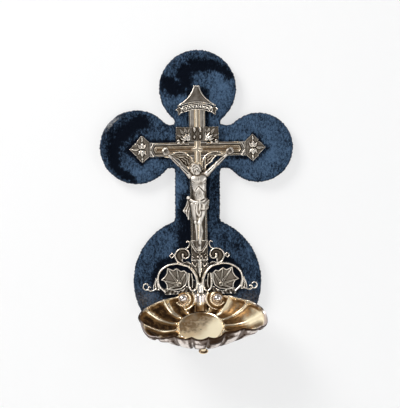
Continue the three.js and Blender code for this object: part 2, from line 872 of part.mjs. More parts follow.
// Upper volutes: a wire spiral with a bead, a hooked tendril above it and a square bud outside.
const voluteTurn = 410;
const voluteStart = -50;
const spiralPoints = [];
for (let step = 0; step <= 14; step += 1) {
  const share = step / 14;
  const angle = THREE.MathUtils.degToRad(voluteStart + share * voluteTurn);
  const radius = voluteStartRadius + share * (voluteEndRadius - voluteStartRadius);
  spiralPoints.push([
    voluteCentreX + radius * Math.cos(angle),
    -voluteCentreDrop + radius * Math.sin(angle),
    wireDepth,
  ]);
}
const voluteTop = -voluteCentreDrop + voluteStartRadius * 0.72;
const tendrilPoints = [
  [-1, 0],
  [-3, tendrilHeight * 0.35],
  [-3.4, tendrilHeight * 0.8],
  [-2.2, tendrilHeight],
].map(([x, y]) => [voluteCentreX + x, voluteTop + y, wireDepth]);
const budX = voluteCentreX + voluteStartRadius + budHalfSize * 0.7;
const volute = union([
  wire(spiralPoints, wireRadius * 0.9, 32),
  ball(voluteCentreX + voluteEndRadius / 2, -voluteCentreDrop, velvetFront + beadRadius, beadRadius, 10),
  wire(tendrilPoints, wireRadius * 0.7, 7),
  rod(budX, -voluteCentreDrop, budHalfSize, velvetFront, velvetFront + leafThickness, 4),
]);
place(plaque, "upper_volute_right", volute, silver);
place(plaque, "upper_volute_left", mirrored(volute), silver);

// Ring scrolls: one wire rounds the vine leaf, runs in beside the stem and turns back up.
function onRing(degrees, radius = ringScrollRadius) {
  const angle = THREE.MathUtils.degToRad(degrees);
  return [ringScrollX + radius * Math.cos(angle), -ringScrollDrop + radius * Math.sin(angle)];
}
const ringScrollPath = [
  onRing(-48),
  onRing(-20),
  onRing(10),
  onRing(40),
  onRing(70),
  onRing(100),
  onRing(126),
  [loopInnerX + loopWidth * 0.64, -loopBottom + loopHeight * 1.02],
  [loopInnerX + loopWidth * 0.16, -loopBottom + loopHeight * 0.72],
  [loopInnerX, -loopMiddle],
  [loopInnerX + loopWidth * 0.16, -loopBottom + loopHeight * 0.12],
  [loopMiddleX, -loopBottom],
  [loopInnerX + loopWidth * 0.86, -loopBottom + loopHeight * 0.12],
  [loopInnerX + loopWidth, -loopMiddle],
  [loopInnerX + loopWidth * 0.88, -loopBottom + loopHeight * 0.84],
];
const ringScroll = wire(
  ringScrollPath.map(([x, y]) => [x, y, wireDepth]),
  wireRadius,
  42,
);
place(plaque, "ring_scroll_right", ringScroll, silver);
place(plaque, "ring_scroll_left", mirrored(ringScroll), silver);

// Vine leaves: five pointed lobes that spread from a base beside the basin. Each lobe has its
// direction and its share of the leaf's reach.
const leafBaseX = ringScrollX - ringScrollRadius * 0.34;
const leafBaseY = -ringScrollDrop - ringScrollRadius * 0.26;
const leafLobes = [
  { degrees: 112, share: 0.7 },
  { degrees: 82, share: 0.84 },
  { degrees: 54, share: 1 },
  { degrees: 13, share: 0.98 },
  { degrees: -24, share: 0.68 },
];
function onLeaf(degrees, share) {
  const angle = THREE.MathUtils.degToRad(degrees);
  const reach = share * leafReach;
  return [leafBaseX + reach * Math.cos(angle), leafBaseY + reach * Math.sin(angle)];
}
const leafPoints = [onLeaf(200, 0.14), onLeaf(140, 0.2)];
leafLobes.forEach(({ degrees, share }, lobe) => {
  leafPoints.push(onLeaf(degrees, share));
  const next = leafLobes[lobe + 1];
  if (next) leafPoints.push(onLeaf((degrees + next.degrees) / 2, (share + next.share) * 0.34));
});
leafPoints.push(onLeaf(-70, 0.2));
const vineLeaf = plate(outline(leafPoints.reverse()), velvetFront, velvetFront + leafThickness);
place(plaque, "vine_leaf_right", vineLeaf, darkSilver);
place(plaque, "vine_leaf_left", mirrored(vineLeaf), darkSilver);

// Tail scrolls: a folded leaf outside each ring that runs out into a curl.
const tailX = ringScrollX + ringScrollRadius + wireRadius + seatGap;
const tailFoot = -ringScrollDrop - tailLeafHeight * 0.86;
const tailLeaf = new THREE.Shape();
tailLeaf.moveTo(tailX + 0.3, tailFoot);
tailLeaf.quadraticCurveTo(tailX + 1.6, tailFoot + tailLeafHeight / 2, tailX + 0.9, tailFoot + tailLeafHeight);
tailLeaf.quadraticCurveTo(
  tailX + tailLeafWidth * 1.2,
  tailFoot + tailLeafHeight * 0.7,
  tailX + tailLeafWidth,
  tailFoot,
);
tailLeaf.closePath();
const curlX = tailX + tailReach;
const curlY = tailFoot + tailCurlRadius;
const curlPoints = [[tailX + tailLeafWidth * 0.7, tailFoot + wireRadius, wireDepth]];
for (let step = 0; step <= 8; step += 1) {
  const angle = THREE.MathUtils.degToRad(-120 + step * 40);
  const radius = tailCurlRadius * (1 - step * 0.06);
  curlPoints.push([curlX + radius * Math.cos(angle), curlY + radius * Math.sin(angle), wireDepth]);
}
const tail = plate(tailLeaf, velvetFront, velvetFront + leafThickness, 5).add(
  wire(curlPoints, wireRadius * 0.75, 20),
);
place(plaque, "tail_scroll_right", tail, silver);
place(plaque, "tail_scroll_left", mirrored(tail), silver);

// Basin

// The flutes follow this wave: 1 down the middle of each, 0 on the ridges between them.
function fluteWave(angle) {
  return Math.abs(Math.cos((fluteCount / 2) * (angle - THREE.MathUtils.degToRad(fluteTurn))));
}

// The shell is laid out over the plane of its rim: u to the right, v from the back edge to the
// front, and its height w from that plane.
function rimReach(angle) {
  const across = Math.abs(Math.cos(angle)) / basinHalfWidth;
  const along = Math.abs(Math.sin(angle)) / basinHalfDepth;
  const reach = (across ** basinSquareness + along ** basinSquareness) ** (-1 / basinSquareness);
  return reach - rimLobe * (1 - fluteWave(angle));
}

// The rim is bent up a little on the right of its front.
function dentLift(angle, share) {
  const away = THREE.MathUtils.radToDeg(angle) - dentTurn;
  return dentHeight * Math.exp(-((away / dentSpread) ** 2)) * share ** 3;
}

// A point of the inner surface: a share of 0 is the edge of the well and 1 is the rim.
function shellPoint(angle, share) {
  const rimU = basinShift + rimReach(angle) * Math.cos(angle);
  const rimV = basinHalfDepth + rimReach(angle) * Math.sin(angle);
  const wellU = wellRadius * Math.cos(angle);
  const wellV = wellSetBack + wellRadius * Math.sin(angle);
  const wellW = -wellDepth - wellSlope * wellRadius * Math.sin(angle);
  const flute = -fluteDepth * fluteWave(angle) + fluteDepth * 0.6;
  const swell = Math.sqrt(share);
  return new THREE.Vector3(
    wellU + (rimU - wellU) * share,
    wellV + (rimV - wellV) * share,
    wellW * (1 - share ** bowlFullness) + flute * swell + dentLift(angle, share),
  );
}

// The closed shell between the inner surface, raised by a lift, and the outer one below it.
function shellSolid(lift, thickness) {
  const columns = fluteCount * 4;
  const rows = 6;
  const top = [];
  const centre = new THREE.Vector3(0, wellSetBack, -wellDepth - wellDish);
  for (let row = 0; row <= rows; row += 1) {
    const ringPoints = [];
    for (let column = 0; column < columns; column += 1) {
      const angle = (column * 2 * Math.PI) / columns + THREE.MathUtils.degToRad(fluteTurn);
      ringPoints.push(shellPoint(angle, row / rows));
    }
    top.push(ringPoints);
  }
  const positions = [];
  const push = (point, drop) => positions.push(point.x, point.y, point.z + lift - drop);
  for (const drop of [0, thickness]) {
    push(centre, drop);
    top.flat().forEach((point) => push(point, drop));
  }
  const layer = 1 + (rows + 1) * columns;
  const id = (side, row, column) => side * layer + 1 + row * columns + (column % columns);
  const faces = [];
  for (let column = 0; column < columns; column += 1) {
    faces.push(0, id(0, 0, column), id(0, 0, column + 1));
    faces.push(layer, id(1, 0, column + 1), id(1, 0, column));
    for (let row = 0; row < rows; row += 1) {
      const [a, b] = [id(0, row, column), id(0, row, column + 1)];
      const [c, d] = [id(0, row + 1, column), id(0, row + 1, column + 1)];
      faces.push(a, c, d, a, d, b);
      faces.push(a + layer, d + layer, c + layer, a + layer, b + layer, d + layer);
    }
    const [c, d] = [id(0, rows, column), id(0, rows, column + 1)];
    faces.push(c, c + layer, d + layer, c, d + layer, d);
  }
  const geometry = new THREE.BufferGeometry();
  geometry.setAttribute("position", new THREE.Float32BufferAttribute(positions, 3));
  geometry.setIndex(faces);
  return geometry;
}

// The geometry with every face turned round, as mirroring turns faces inside out.
function flipped(geometry) {
  const index = geometry.index.array;
  for (let corner = 0; corner < index.length; corner += 3) {
    const kept = index[corner + 1];
    index[corner + 1] = index[corner + 2];
    index[corner + 2] = kept;
  }
  return geometry;
}

// The rim's plane falls towards the front. This takes it to its place on the wall.
const rimBack = velvetFront + basinStandOff;
const rimTurn = THREE.MathUtils.degToRad(basinTilt);
const rimAcross = at(1, 0, 0);
const rimForward = at(0, -Math.sin(rimTurn), Math.cos(rimTurn));
const rimUp = at(0, Math.cos(rimTurn), Math.sin(rimTurn));
const rimPlace = new THREE.Matrix4().makeBasis(rimAcross, rimForward, rimUp);
rimPlace.setPosition(0, -basinRimDrop, rimBack);

// Swapping the height's sign twice keeps the faces outward: u, v and w are a left-handed set.
function placed(geometry) {
  const turned = geometry.applyMatrix4(rimPlace);
  return solid(rimPlace.determinant() < 0 ? flipped(turned) : turned);
}

const basin = placed(shellSolid(0, basinThickness));
place(plaque, "shell_basin", basin, gilt);

// What stands on the shell is cut back by the shell itself, raised by the seat's gap.
const seatCutter = placed(shellSolid(seatGap, basinThickness + 2 * seatGap));

const neckHalf = neckWidth / 2;
const neckTop = scrollFoot + jointGap * 2;
const neckShape = new THREE.Shape();
neckShape.moveTo(-neckHalf, -neckTop);
neckShape.quadraticCurveTo(-neckHalf * 0.5, -neckTop - 6, -neckHalf * 0.9, -neckTop - 12.6);
neckShape.lineTo(neckHalf * 0.9, -neckTop - 12.6);
neckShape.quadraticCurveTo(neckHalf * 0.5, -neckTop - 6, neckHalf, -neckTop);
const neckBack = rimBack + rimLobe * 1.2;
const neckBlank = plate(neckShape, neckBack, neckBack + neckDepth + 1);
const neckPieces = neckBlank.subtract(seatCutter).decompose();
const neck = neckPieces.reduce((best, piece) => {
  const box0 = best.boundingBox();
  const box1 = piece.boundingBox();
  return box1.max[2] > box0.max[2] ? piece : best;
});
place(plaque, "basin_neck", neck, gilt);

for (const [name, side] of [
  ["basin_volute_left", -1],
  ["basin_volute_right", 1],
]) {
  const whole = ball(side * ballReach, -basinRimDrop - 3.2, rimBack + 3.4, ballRadius, 14);
  const pieces = whole.subtract(seatCutter).decompose();
  const kept = pieces.reduce((best, piece) => (piece.volume() > best.volume() ? piece : best));
  place(plaque, name, kept, silver);
}

// The bracket is a flat plate behind the shell, which the basin's post holds to the board.
const bracketTop = scrollFoot + jointGap * 2;
const bracket = box(
  -bracketHalfWidth,
  bracketHalfWidth,
  -bracketTop - bracketHeight,
  -bracketTop,
  velvetFront,
  velvetFront + bracketThickness,
);
place(plaque, "basin_bracket", bracket, darkSilver);

// A small turned knob stands under the front of the shell, where it shows below the flutes.
const knobProfile = [
  [0, -knobHeight],
  [knobRadius * 0.6, -knobHeight * 0.92],
  [knobRadius, -knobHeight * 0.68],
  [knobRadius, -knobHeight * 0.52],
  [knobRadius * 0.55, -knobHeight * 0.3],
  [knobRadius * 0.55, basinThickness / 2],
  [0, basinThickness / 2],
].map(([x, y]) => new THREE.Vector2(x, y));
const knobShare = knobForward / (2 * basinHalfDepth - wellSetBack - wellRadius);
const knobSeat = shellPoint(Math.PI / 2, knobShare);
const knobBlank = placed(
  new THREE.LatheGeometry(knobProfile, 20)
    .rotateX(Math.PI / 2)
    .translate(basinShift, knobSeat.y, knobSeat.z - basinThickness),
);
const knobPieces = knobBlank.subtract(seatCutter).decompose();
const knob = knobPieces.reduce((best, piece) => (piece.volume() > best.volume() ? piece : best));
place(plaque, "basin_knob", knob, gilt);

export default font;
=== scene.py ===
"""The looks of a holy water font: a cast silver crucifix with a gilt shell basin on a velvet board.

Sizes are in millimetres as the maker would measure them on the font: x to the right, y up from
the crossing and z out from the wall. The wall, the camera and the lamps are placed in metres.
The silver hangs a little askew on its board.
"""

import functools
import math

import bpy
import numpy as np
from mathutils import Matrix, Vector


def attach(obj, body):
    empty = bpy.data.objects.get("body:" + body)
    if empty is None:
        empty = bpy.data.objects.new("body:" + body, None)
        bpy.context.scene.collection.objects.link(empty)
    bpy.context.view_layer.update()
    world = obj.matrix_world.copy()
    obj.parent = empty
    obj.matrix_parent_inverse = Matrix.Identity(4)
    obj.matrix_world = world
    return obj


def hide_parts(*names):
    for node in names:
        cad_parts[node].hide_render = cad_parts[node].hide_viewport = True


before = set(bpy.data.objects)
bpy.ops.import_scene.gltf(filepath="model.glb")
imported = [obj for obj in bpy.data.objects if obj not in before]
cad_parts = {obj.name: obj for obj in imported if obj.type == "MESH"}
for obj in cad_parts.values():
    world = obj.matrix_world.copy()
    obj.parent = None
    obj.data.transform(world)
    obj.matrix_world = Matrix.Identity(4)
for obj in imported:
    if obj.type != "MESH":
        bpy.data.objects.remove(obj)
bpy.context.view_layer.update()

# Wall and floor
# The font hangs on a plain white wall that curves out into a floor far below the picture. The
# wall keeps the font's shadow, and its back lets a view from behind through.

scene = bpy.context.scene
scene.view_settings.view_transform = "Standard"


def link_mesh(name, points, faces):
    """Makes an object of points in metres and faces that index them."""
    mesh = bpy.data.meshes.new(name)
    mesh.from_pydata(np.asarray(points, float).tolist(), [], [list(face) for face in faces])
    mesh.update()
    made = bpy.data.objects.new(name, mesh)
    scene.collection.objects.link(made)
    return made


class Port:
    """One output of a node. Plain arithmetic on ports adds Math nodes to their material."""

    def __init__(self, finish, socket):
        self.finish = finish
        self.socket = socket

    def maths(self, operation, *values):
        settings = {"operation": operation}
        return self.finish.node("ShaderNodeMath", settings, dict(enumerate(values)))

    def __add__(self, other):
        return self.maths("ADD", self, other)

    def __sub__(self, other):
        return self.maths("SUBTRACT", self, other)

    def __rsub__(self, other):
        return self.maths("SUBTRACT", other, self)

    def __mul__(self, other):
        return self.maths("MULTIPLY", self, other)

    __radd__ = __add__
    __rmul__ = __mul__

    def most(self, other):
        return self.maths("MAXIMUM", self, other)


class Finish:
    """A material as it is built up: its shader, and the nodes that feed it."""

    def __init__(self, name, **constants):
        self.material = bpy.data.materials.new(name)
        self.material.use_nodes = True
        self.tree = self.material.node_tree
        self.shader = self.tree.nodes["Principled BSDF"]
        for socket, value in constants.items():
            self.shader.inputs[socket.replace("_", " ")].default_value = value

    def node(self, kind, settings=None, inputs=None, output=0):
        made = self.tree.nodes.new(kind)
        for setting, value in (settings or {}).items():
            setattr(made, setting, value)
        for socket, value in (inputs or {}).items():
            if isinstance(value, Port):
                self.tree.links.new(value.socket, made.inputs[socket])
            else:
                made.inputs[socket].default_value = value
        return Port(self, made.outputs[output])

    def feed(self, socket, port):
        self.tree.links.new(port.socket, self.shader.inputs[socket])


wall_face, wall_foot, wall_bend = 0.0012, -0.3, 0.12

wall_finish = Finish("wall_paint", Base_Color=(0.93, 0.93, 0.93, 1), Roughness=0.9)
seen = [wall_finish.node("ShaderNodeLightPath", output=ray) for ray in (0, 3, 6)]
white = wall_finish.node("ShaderNodeEmission", inputs={"Color": (1, 1, 1, 1), "Strength": 1.0})
lit = wall_finish.node(
    "ShaderNodeMixShader",
    inputs={
        0: seen[0].most(seen[1]).most(seen[2]) * 0.6,
        1: Port(wall_finish, wall_finish.shader.outputs[0]),
        2: white,
    },
)
clear = wall_finish.node("ShaderNodeBsdfTransparent")
behind = wall_finish.node("ShaderNodeNewGeometry", output=6)
one_sided = wall_finish.node("ShaderNodeMixShader", inputs={0: behind, 1: lit, 2: clear})
surface = wall_finish.tree.nodes["Material Output"].inputs["Surface"]
wall_finish.tree.links.new(one_sided.socket, surface)

wall_profile = [(wall_face, 0.9)]
for bend in np.linspace(0, math.pi / 2, 9):
    out, down = wall_bend * (1 - math.cos(bend)), wall_bend * math.sin(bend)
    wall_profile.append((wall_face - out, wall_foot - down))
wall_profile.append((-1.6, wall_foot - wall_bend))
wall_points = [(x, y, z) for x in (-1.2, 1.2) for y, z in wall_profile]
turns = len(wall_profile)
wall_faces = [(turn, turn + 1, turns + turn + 1, turns + turn) for turn in range(turns - 1)]
wall = link_mesh("wall", wall_points, wall_faces)
wall.data.materials.append(wall_finish.material)

# Camera and lamps
# The camera looks straight at the font from three quarters of a metre, a little right of its
# middle. A broad soft lamp stands high on the left, a weaker one fills in from the right, and a
# small one shines from the front.

camera = bpy.data.objects.new("camera", bpy.data.cameras.new("camera"))
scene.collection.objects.link(camera)
camera.location = (0.00175, -0.75, -0.0399)
camera.rotation_euler = (math.pi / 2, 0, 0)
camera.data.sensor_fit = "HORIZONTAL"
camera.data.sensor_width = 36
camera.data.lens = 95.5
camera.data.clip_start = 0.01
scene.camera = camera


def lamp(name, place, aim, size, power, colour=(1, 1, 1)):
    data = bpy.data.lights.new(name, "AREA")
    data.shape = "RECTANGLE"
    data.size, data.size_y = size
    data.energy = power
    data.color = colour
    made = bpy.data.objects.new(name, data)
    scene.collection.objects.link(made)
    made.location = place
    towards = Vector(aim) - Vector(place)
    made.rotation_euler = towards.to_track_quat("-Z", "Y").to_euler()


lamp("window", (-0.62, -0.62, 0.62), (0, 0, -0.03), (0.45, 0.45), 8.5, (1.0, 0.99, 0.97))
lamp("fill", (0.8, -0.9, 0.1), (0, 0, -0.05), (0.5, 0.9), 2.4, (0.95, 0.98, 1.0))
lamp("front", (0.0, -1.3, -0.35), (0, 0, -0.05), (0.4, 0.25), 1.6)

world = bpy.data.worlds.new("room")
scene.world = world
world.use_nodes = True
world.node_tree.nodes["Background"].inputs["Color"].default_value = (0.93, 0.95, 1.0, 1)
world.node_tree.nodes["Background"].inputs["Strength"].default_value = 0.26

# Board and lining
# A sawn beech board that the velvet hides, with a sheet of brown paper glued over its back to
# cover the velvet's turned edge. Both keep their shape from the frame.


def place_of(finish):
    return finish.node("ShaderNodeTexCoord", output=3)


def noise(finish, size, stretch=(1, 1, 1), detail=4.0, roughness=0.55):
    """Soft random patches of a size in millimetres, stretched along an axis, from 0 to 1."""
    settings = {"vector_type": "POINT"}
    scaled = finish.node(
        "ShaderNodeMapping", settings, {"Vector": place_of(finish), "Scale": stretch}
    )
    inputs = {"Vector": scaled, "Scale": 1000.0 / size, "Detail": detail, "Roughness": roughness}
    return finish.node("ShaderNodeTexNoise", None, inputs)


def between(finish, port, low, high):
    """Rises smoothly from 0 to 1 as the port goes from low to high."""
    settings = {"interpolation_type": "SMOOTHSTEP"}
    return finish.node("ShaderNodeMapRange", settings, {0: port, 1: low, 2: high})


def blend(finish, share, one, other):
    """A colour between two others."""
    settings = {"data_type": "RGBA"}
    return finish.node("ShaderNodeMix", settings, {0: share, 6: one, 7: other}, output=2)


def bump(finish, height, strength, distance):
    inputs = {"Height": height, "Strength": strength, "Distance": distance}
    finish.feed("Normal", finish.node("ShaderNodeBump", None, inputs))


def dress(finish, *nodes):
    """Gives pieces of the frame a finish."""
    for node in nodes:
        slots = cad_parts[node].data.materials
        slots.clear()
        slots.append(finish.material)


beech = Finish("beech", Roughness=0.62)
grain = noise(beech, 3.0, (1, 1, 0.06), 6)
pores = noise(beech, 0.5, (1, 1, 0.12), 2)
beech_tone = blend(beech, grain, (0.42, 0.24, 0.11, 1), (0.62, 0.40, 0.21, 1))
pore_mask = between(beech, pores, 0.62, 0.75)
beech.feed("Base Color", blend(beech, pore_mask * 0.6, beech_tone, (0.24, 0.12, 0.05, 1)))
bump(beech, grain + pores * 0.4, 0.25, 0.0002)
dress(beech, "backing_board")

paper = Finish("brown_paper", Roughness=0.85)
pulp = noise(paper, 1.2, (1, 1, 1), 8)
stain = noise(paper, 40.0, (1, 1, 1), 3)
stained = between(paper, stain, 0.5, 0.75) * 0.5
paper_tone = blend(paper, pulp, (0.30, 0.20, 0.12, 1), (0.46, 0.34, 0.22, 1))
paper.feed("Base Color", blend(paper, stained, paper_tone, (0.22, 0.14, 0.08, 1)))
bump(paper, pulp, 0.3, 0.00015)
dress(paper, "back_lining")

# Hanger, posts and nuts
# A stamped brass plate with a loose ring in its eye, screwed into a pocket of the board's back.
# Steel posts from the silver come through the board into hexagonal brass nuts.

brass = Finish("old_brass", Metallic=1.0)
brass_film = between(brass, noise(brass, 2.5, (1, 1, 1), 6), 0.4, 0.7)
brass.feed("Base Color", blend(brass, brass_film, (0.78, 0.58, 0.26, 1), (0.34, 0.22, 0.09, 1)))
brass.feed("Roughness", brass_film * 0.25 + 0.28)
bump(brass, noise(brass, 0.3), 0.15, 0.00005)
dress(brass, "hanger_plate", "hanging_ring", "hanger_screw_left", "hanger_screw_right")
dress(brass, "nut_top", "nut_left", "nut_right", "nut_basin")

steel = Finish("post_steel", Metallic=1.0)
turning = noise(steel, 0.2, (0.1, 1, 0.1), 2)
steel.feed("Base Color", blend(steel, turning, (0.30, 0.29, 0.28, 1), (0.55, 0.54, 0.52, 1)))
steel.feed("Roughness", turning * 0.2 + 0.35)
dress(steel, "post_top", "post_left", "post_right", "post_basin")

# Velvet
# Dark blue silk velvet, stretched over the board's face and round its edge to the back. The rims
# of the left and top lobes are padded and stand up; the pile in the hollow behind them is crushed,
# and painted shade darkens it there. Painted shade also darkens the pile along the silver and
# under the scrollwork, and painted light brightens the right lobe.

top_lobe, left_lobe = (0, 41.3, 27.0), (-42.7, 0, 25.9)
right_lobe, foot_lobe = (42.7, 0, 24.3), (0, -93.8, 44.8)
velvet_back = 0.6
velvet_front = 7.2
velvet_weight = 1.1
velvet_edge = 2.6


def disc(x, y, middle_x, middle_y, radius):
    """How far points lie outside a circle; inside it the number is below zero."""
    return np.hypot(x - middle_x, y - middle_y) - radius


def slab(x, y, centre, half_width, half_height):
    """The same for an upright rectangle."""
    across = np.abs(x - centre[0]) - half_width
    up = np.abs(y - centre[1]) - half_height
    outside = np.hypot(np.maximum(across, 0), np.maximum(up, 0))
    return outside + np.minimum(np.maximum(across, up), 0)


def melt(one, other, reach):
    """Joins two outlines or lumps, with a fillet where they meet."""
    share = np.clip(0.5 + 0.5 * (other - one) / reach, 0, 1)
    return other * (1 - share) + one * share - reach * share * (1 - share)


def velvet_outline(x, y):
    whole = slab(x, y, (0, -26.2), 15.75, 67.5)
    whole = melt(whole, slab(x, y, (0, 0.6), 42.7, 15.1), 3.0)
    for lobe in (top_lobe, left_lobe, right_lobe, foot_lobe):
        whole = melt(whole, disc(x, y, *lobe), 2.4)
    return whole


def settled(field, x, y, rounds=3):
    """Moves points straight onto an outline."""
    for _ in range(rounds):
        away = field(x, y)
        slope_x = (field(x + 0.02, y) - field(x - 0.02, y)) / 0.04
        slope_y = (field(x, y + 0.02) - field(x, y - 0.02)) / 0.04
        steep = np.maximum(slope_x**2 + slope_y**2, 0.25)
        x, y = x - away * slope_x / steep, y - away * slope_y / steep
    return x, y


def sheet_of(field, low, high, step):
    """A net of squares over an outline, its rim drawn onto the line: x, y, squares, rim edges."""
    counts = [int(math.ceil((high[axis] - low[axis]) / step)) + 1 for axis in (0, 1)]
    lines = [low[axis] + step * np.arange(counts[axis]) for axis in (0, 1)]
    x, y = np.meshgrid(*lines, indexing="ij")
    inside = field(x, y) < -0.3 * step
    cell = inside[:-1, :-1] | inside[1:, :-1] | inside[:-1, 1:] | inside[1:, 1:]
    number = np.arange(x.size).reshape(x.shape)
    square = [number[:-1, :-1], number[1:, :-1], number[1:, 1:], number[:-1, 1:]]
    squares = np.stack([corner[cell] for corner in square], 1)
    used = np.unique(squares)
    renumber = np.full(x.size, -1)
    renumber[used] = np.arange(len(used))
    squares = renumber[squares]
    x, y, inside = x.ravel()[used], y.ravel()[used], inside.ravel()[used]
    x[~inside], y[~inside] = settled(field, x[~inside], y[~inside])
    edges = np.concatenate([squares[:, [side, (side + 1) % 4]] for side in range(4)])
    keys = edges[:, 0] * len(x) + edges[:, 1]
    twins = edges[:, 1] * len(x) + edges[:, 0]
    return x, y, squares, edges[~np.isin(keys, twins)]


def smooth_noise(x, y, size, seed):
    """Random heights from about -1 to 1 that change over a size in millimetres."""
    rng = np.random.default_rng(seed)
    total = np.zeros_like(x)
    for _ in range(14):  # waves laid over each other
        angle, shift = rng.uniform(0, 2 * math.pi, 2)
        pace = rng.uniform(0.7, 1.5) * 2 * math.pi / size
        total += np.sin((x * math.cos(angle) + y * math.sin(angle)) * pace + shift)
    return total / 4.5


def rise(value, low, high):
    """Goes smoothly from 0 to 1 as the value goes from low to high."""
    share = np.clip((value - low) / (high - low), 0, 1)
    return share * share * (3 - 2 * share)


def bell(value, middle, spread):
    """1 at the middle, falling to 0 on both sides of it."""
    return np.exp(-(((value - middle) / spread) ** 2))


def highest(*values):
    return functools.reduce(np.maximum, values)


def lowest(*values):
    return functools.reduce(np.minimum, values)


def lines_between(x, y, path, closed=False):
    """Distance to a path of straight lines, and how far along it the nearest point lies."""
    path = np.asarray(path, float)
    ends = np.roll(path, -1, 0) if closed else path[1:]
    starts = path if closed else path[:-1]
    lengths = np.hypot(*(ends - starts).T)
    nearest = np.full(x.shape, 1e9)
    share = np.zeros(x.shape)
    passed = 0.0
    for (ax, ay), (bx, by), length in zip(starts, ends, lengths):
        t = ((x - ax) * (bx - ax) + (y - ay) * (by - ay)) / max(length**2, 1e-9)
        t = np.clip(t, 0, 1)
        away = np.hypot(x - ax - t * (bx - ax), y - ay - t * (by - ay))
        share = np.where(away < nearest, (passed + t * length) / lengths.sum(), share)
        nearest = np.minimum(nearest, away)
        passed += length
    return nearest, share


def velvet_rim(x, y):
    """How strongly the padded rim stands up: left lobe's left side and the top lobe's top."""
    left = rise(-x, 46, 56) * (1 - rise(y, 14, 24) * 0.6)
    left_ring = bell(disc(x, y, *left_lobe), -4.4, 3.2)
    top_ring = bell(disc(x, y, *top_lobe), -4.6, 3.4)
    return np.maximum(left * left_ring, rise(y, 44, 54) * top_ring)


crush_and_shade_left = [
    (-38.6, 18.0), (-45, 14.5), (-53, 8), (-57, 2),
    (-59, -6), (-57.5, -12.5), (-53, -18.5), (-44.5, -23),
]
crush_and_shade_top = [(-22, 45), (-15, 40), (-8, 44), (-10, 52), (-1, 57), (9, 57), (18, 54), (22, 50)]


def crush_and_shade(x, y):
    """How dark the pile is painted, from 0 to 1: crushed pile with painted shade inside the padded
    rims and under the scrollwork, darker pile beside the lower upright, and painted contact shadow
    along the silver.
    """
    ragged = 1.3 * smooth_noise(x, y, 5, 21)
    # The dark crescents inside the padded rims: crushed pile, with painted shade on it.
    left, share = lines_between(x, y, crush_and_shade_left)
    left = 1 - rise(left + ragged, 1.0 - 0.6 * share, 7.0 - 3.4 * share)
    top, share = lines_between(x, y, crush_and_shade_top)
    top = 1 - rise(top + ragged, 0.6, 7.8 - 2.6 * share)
    under = 0.85 * rise(x, -16, -9) * rise(-x, -8, -4) * rise(-y, 28, 38) * rise(y, -84, -72)
    # Crushed pile and painted shade under the scrollwork.
    scrolls = 0.85 * (1 - rise(np.hypot(np.abs(x) - 16.5, y + 91.5), 13, 17.5)) * rise(-y, 72, 78)
    # Painted contact shadow along the silver's outline.
    silver_edges = [slab(x, y, (0.3, -16), 6.2, 56), slab(x, y, (0, -1.6), 33.5, 5.3)]
    for kite_x, kite_y in ((-39.2, -2.2), (39.2, -0.6)):
        silver_edges.append((np.abs(x - kite_x) + np.abs(y - kite_y)) * 0.71 - 6.8)
    contact_shadow = 0.7 * (1 - rise(lowest(*silver_edges) + 0.4 * ragged, 0.2, 2.4))
    return np.clip(highest(left, top, under, scrolls, contact_shadow), 0, 1)


def lay_and_light(x, y):
    """How light the pile is painted, from 0 to 1, patch by patch: partly how it lies, partly
    painted light and shade, with the right lobe painted lit.
    """
    light = 0.42 + 0.1 * smooth_noise(x, y, 14, 31)
    for *middle, reach, change in (
        (43, 0, 30, 0.34), (-40, -19, 13, 0.32), (-14, 33, 9, 0.2), (15, 47, 11, 0.3),
        (16, 35, 12, 0.22), (-12, -26, 13, 0.34), (12, -26, 12, -0.2), (-58, 6, 22, -0.3),
        (-25, -72, 16, 0.12), (0, 64, 18, -0.08), (25, -75, 18, -0.05),
    ):
        light += change * bell(disc(x, y, *middle, 0), 0, reach)
    return np.clip(light, 0, 1)


vx, vy, velvet_squares, velvet_rim_edges = sheet_of(velvet_outline, (-70, -140), (68, 70), 0.72)
depth_in = -velvet_outline(vx, vy)
round_off = np.clip(velvet_edge - depth_in, 0, velvet_edge)
flat_face = velvet_front - velvet_edge + np.sqrt(velvet_edge**2 - round_off**2)
rim_loops = []
follow = dict(velvet_rim_edges.tolist())
while follow:
    start = next(iter(follow))
    loop = [start]
    while follow[loop[-1]] != start:
        loop.append(follow.pop(loop[-1]))
    follow.pop(loop[-1])
    rim_loops.append(loop)


def joining(above, below):
    """Squares that join two closed rows of points."""
    turned = zip(above, above[1:] + above[:1], below, below[1:] + below[:1])
    return [[two, one, under, under_two] for one, two, under, under_two in turned]


velvet_points = [np.stack([vx, vy, flat_face], 1)]
velvet_faces = velvet_squares.tolist()
back_rows = np.linspace(velvet_front - velvet_edge, velvet_back, 5)[1:]
last_rows = []
for loop in rim_loops:
    above = loop
    for z in back_rows:
        first = sum(len(part) for part in velvet_points)
        below = list(range(first, first + len(loop)))
        velvet_points.append(np.stack([vx[loop], vy[loop], np.full(len(loop), z)], 1))
        velvet_faces += joining(above, below)
        above = below
    last_rows.append(above)
outer = np.concatenate(velvet_points)


def normals_of(made):
    normals = np.zeros(3 * len(made.data.vertices))
    made.data.vertex_normals.foreach_get("vector", normals)
    return normals.reshape(-1, 3)


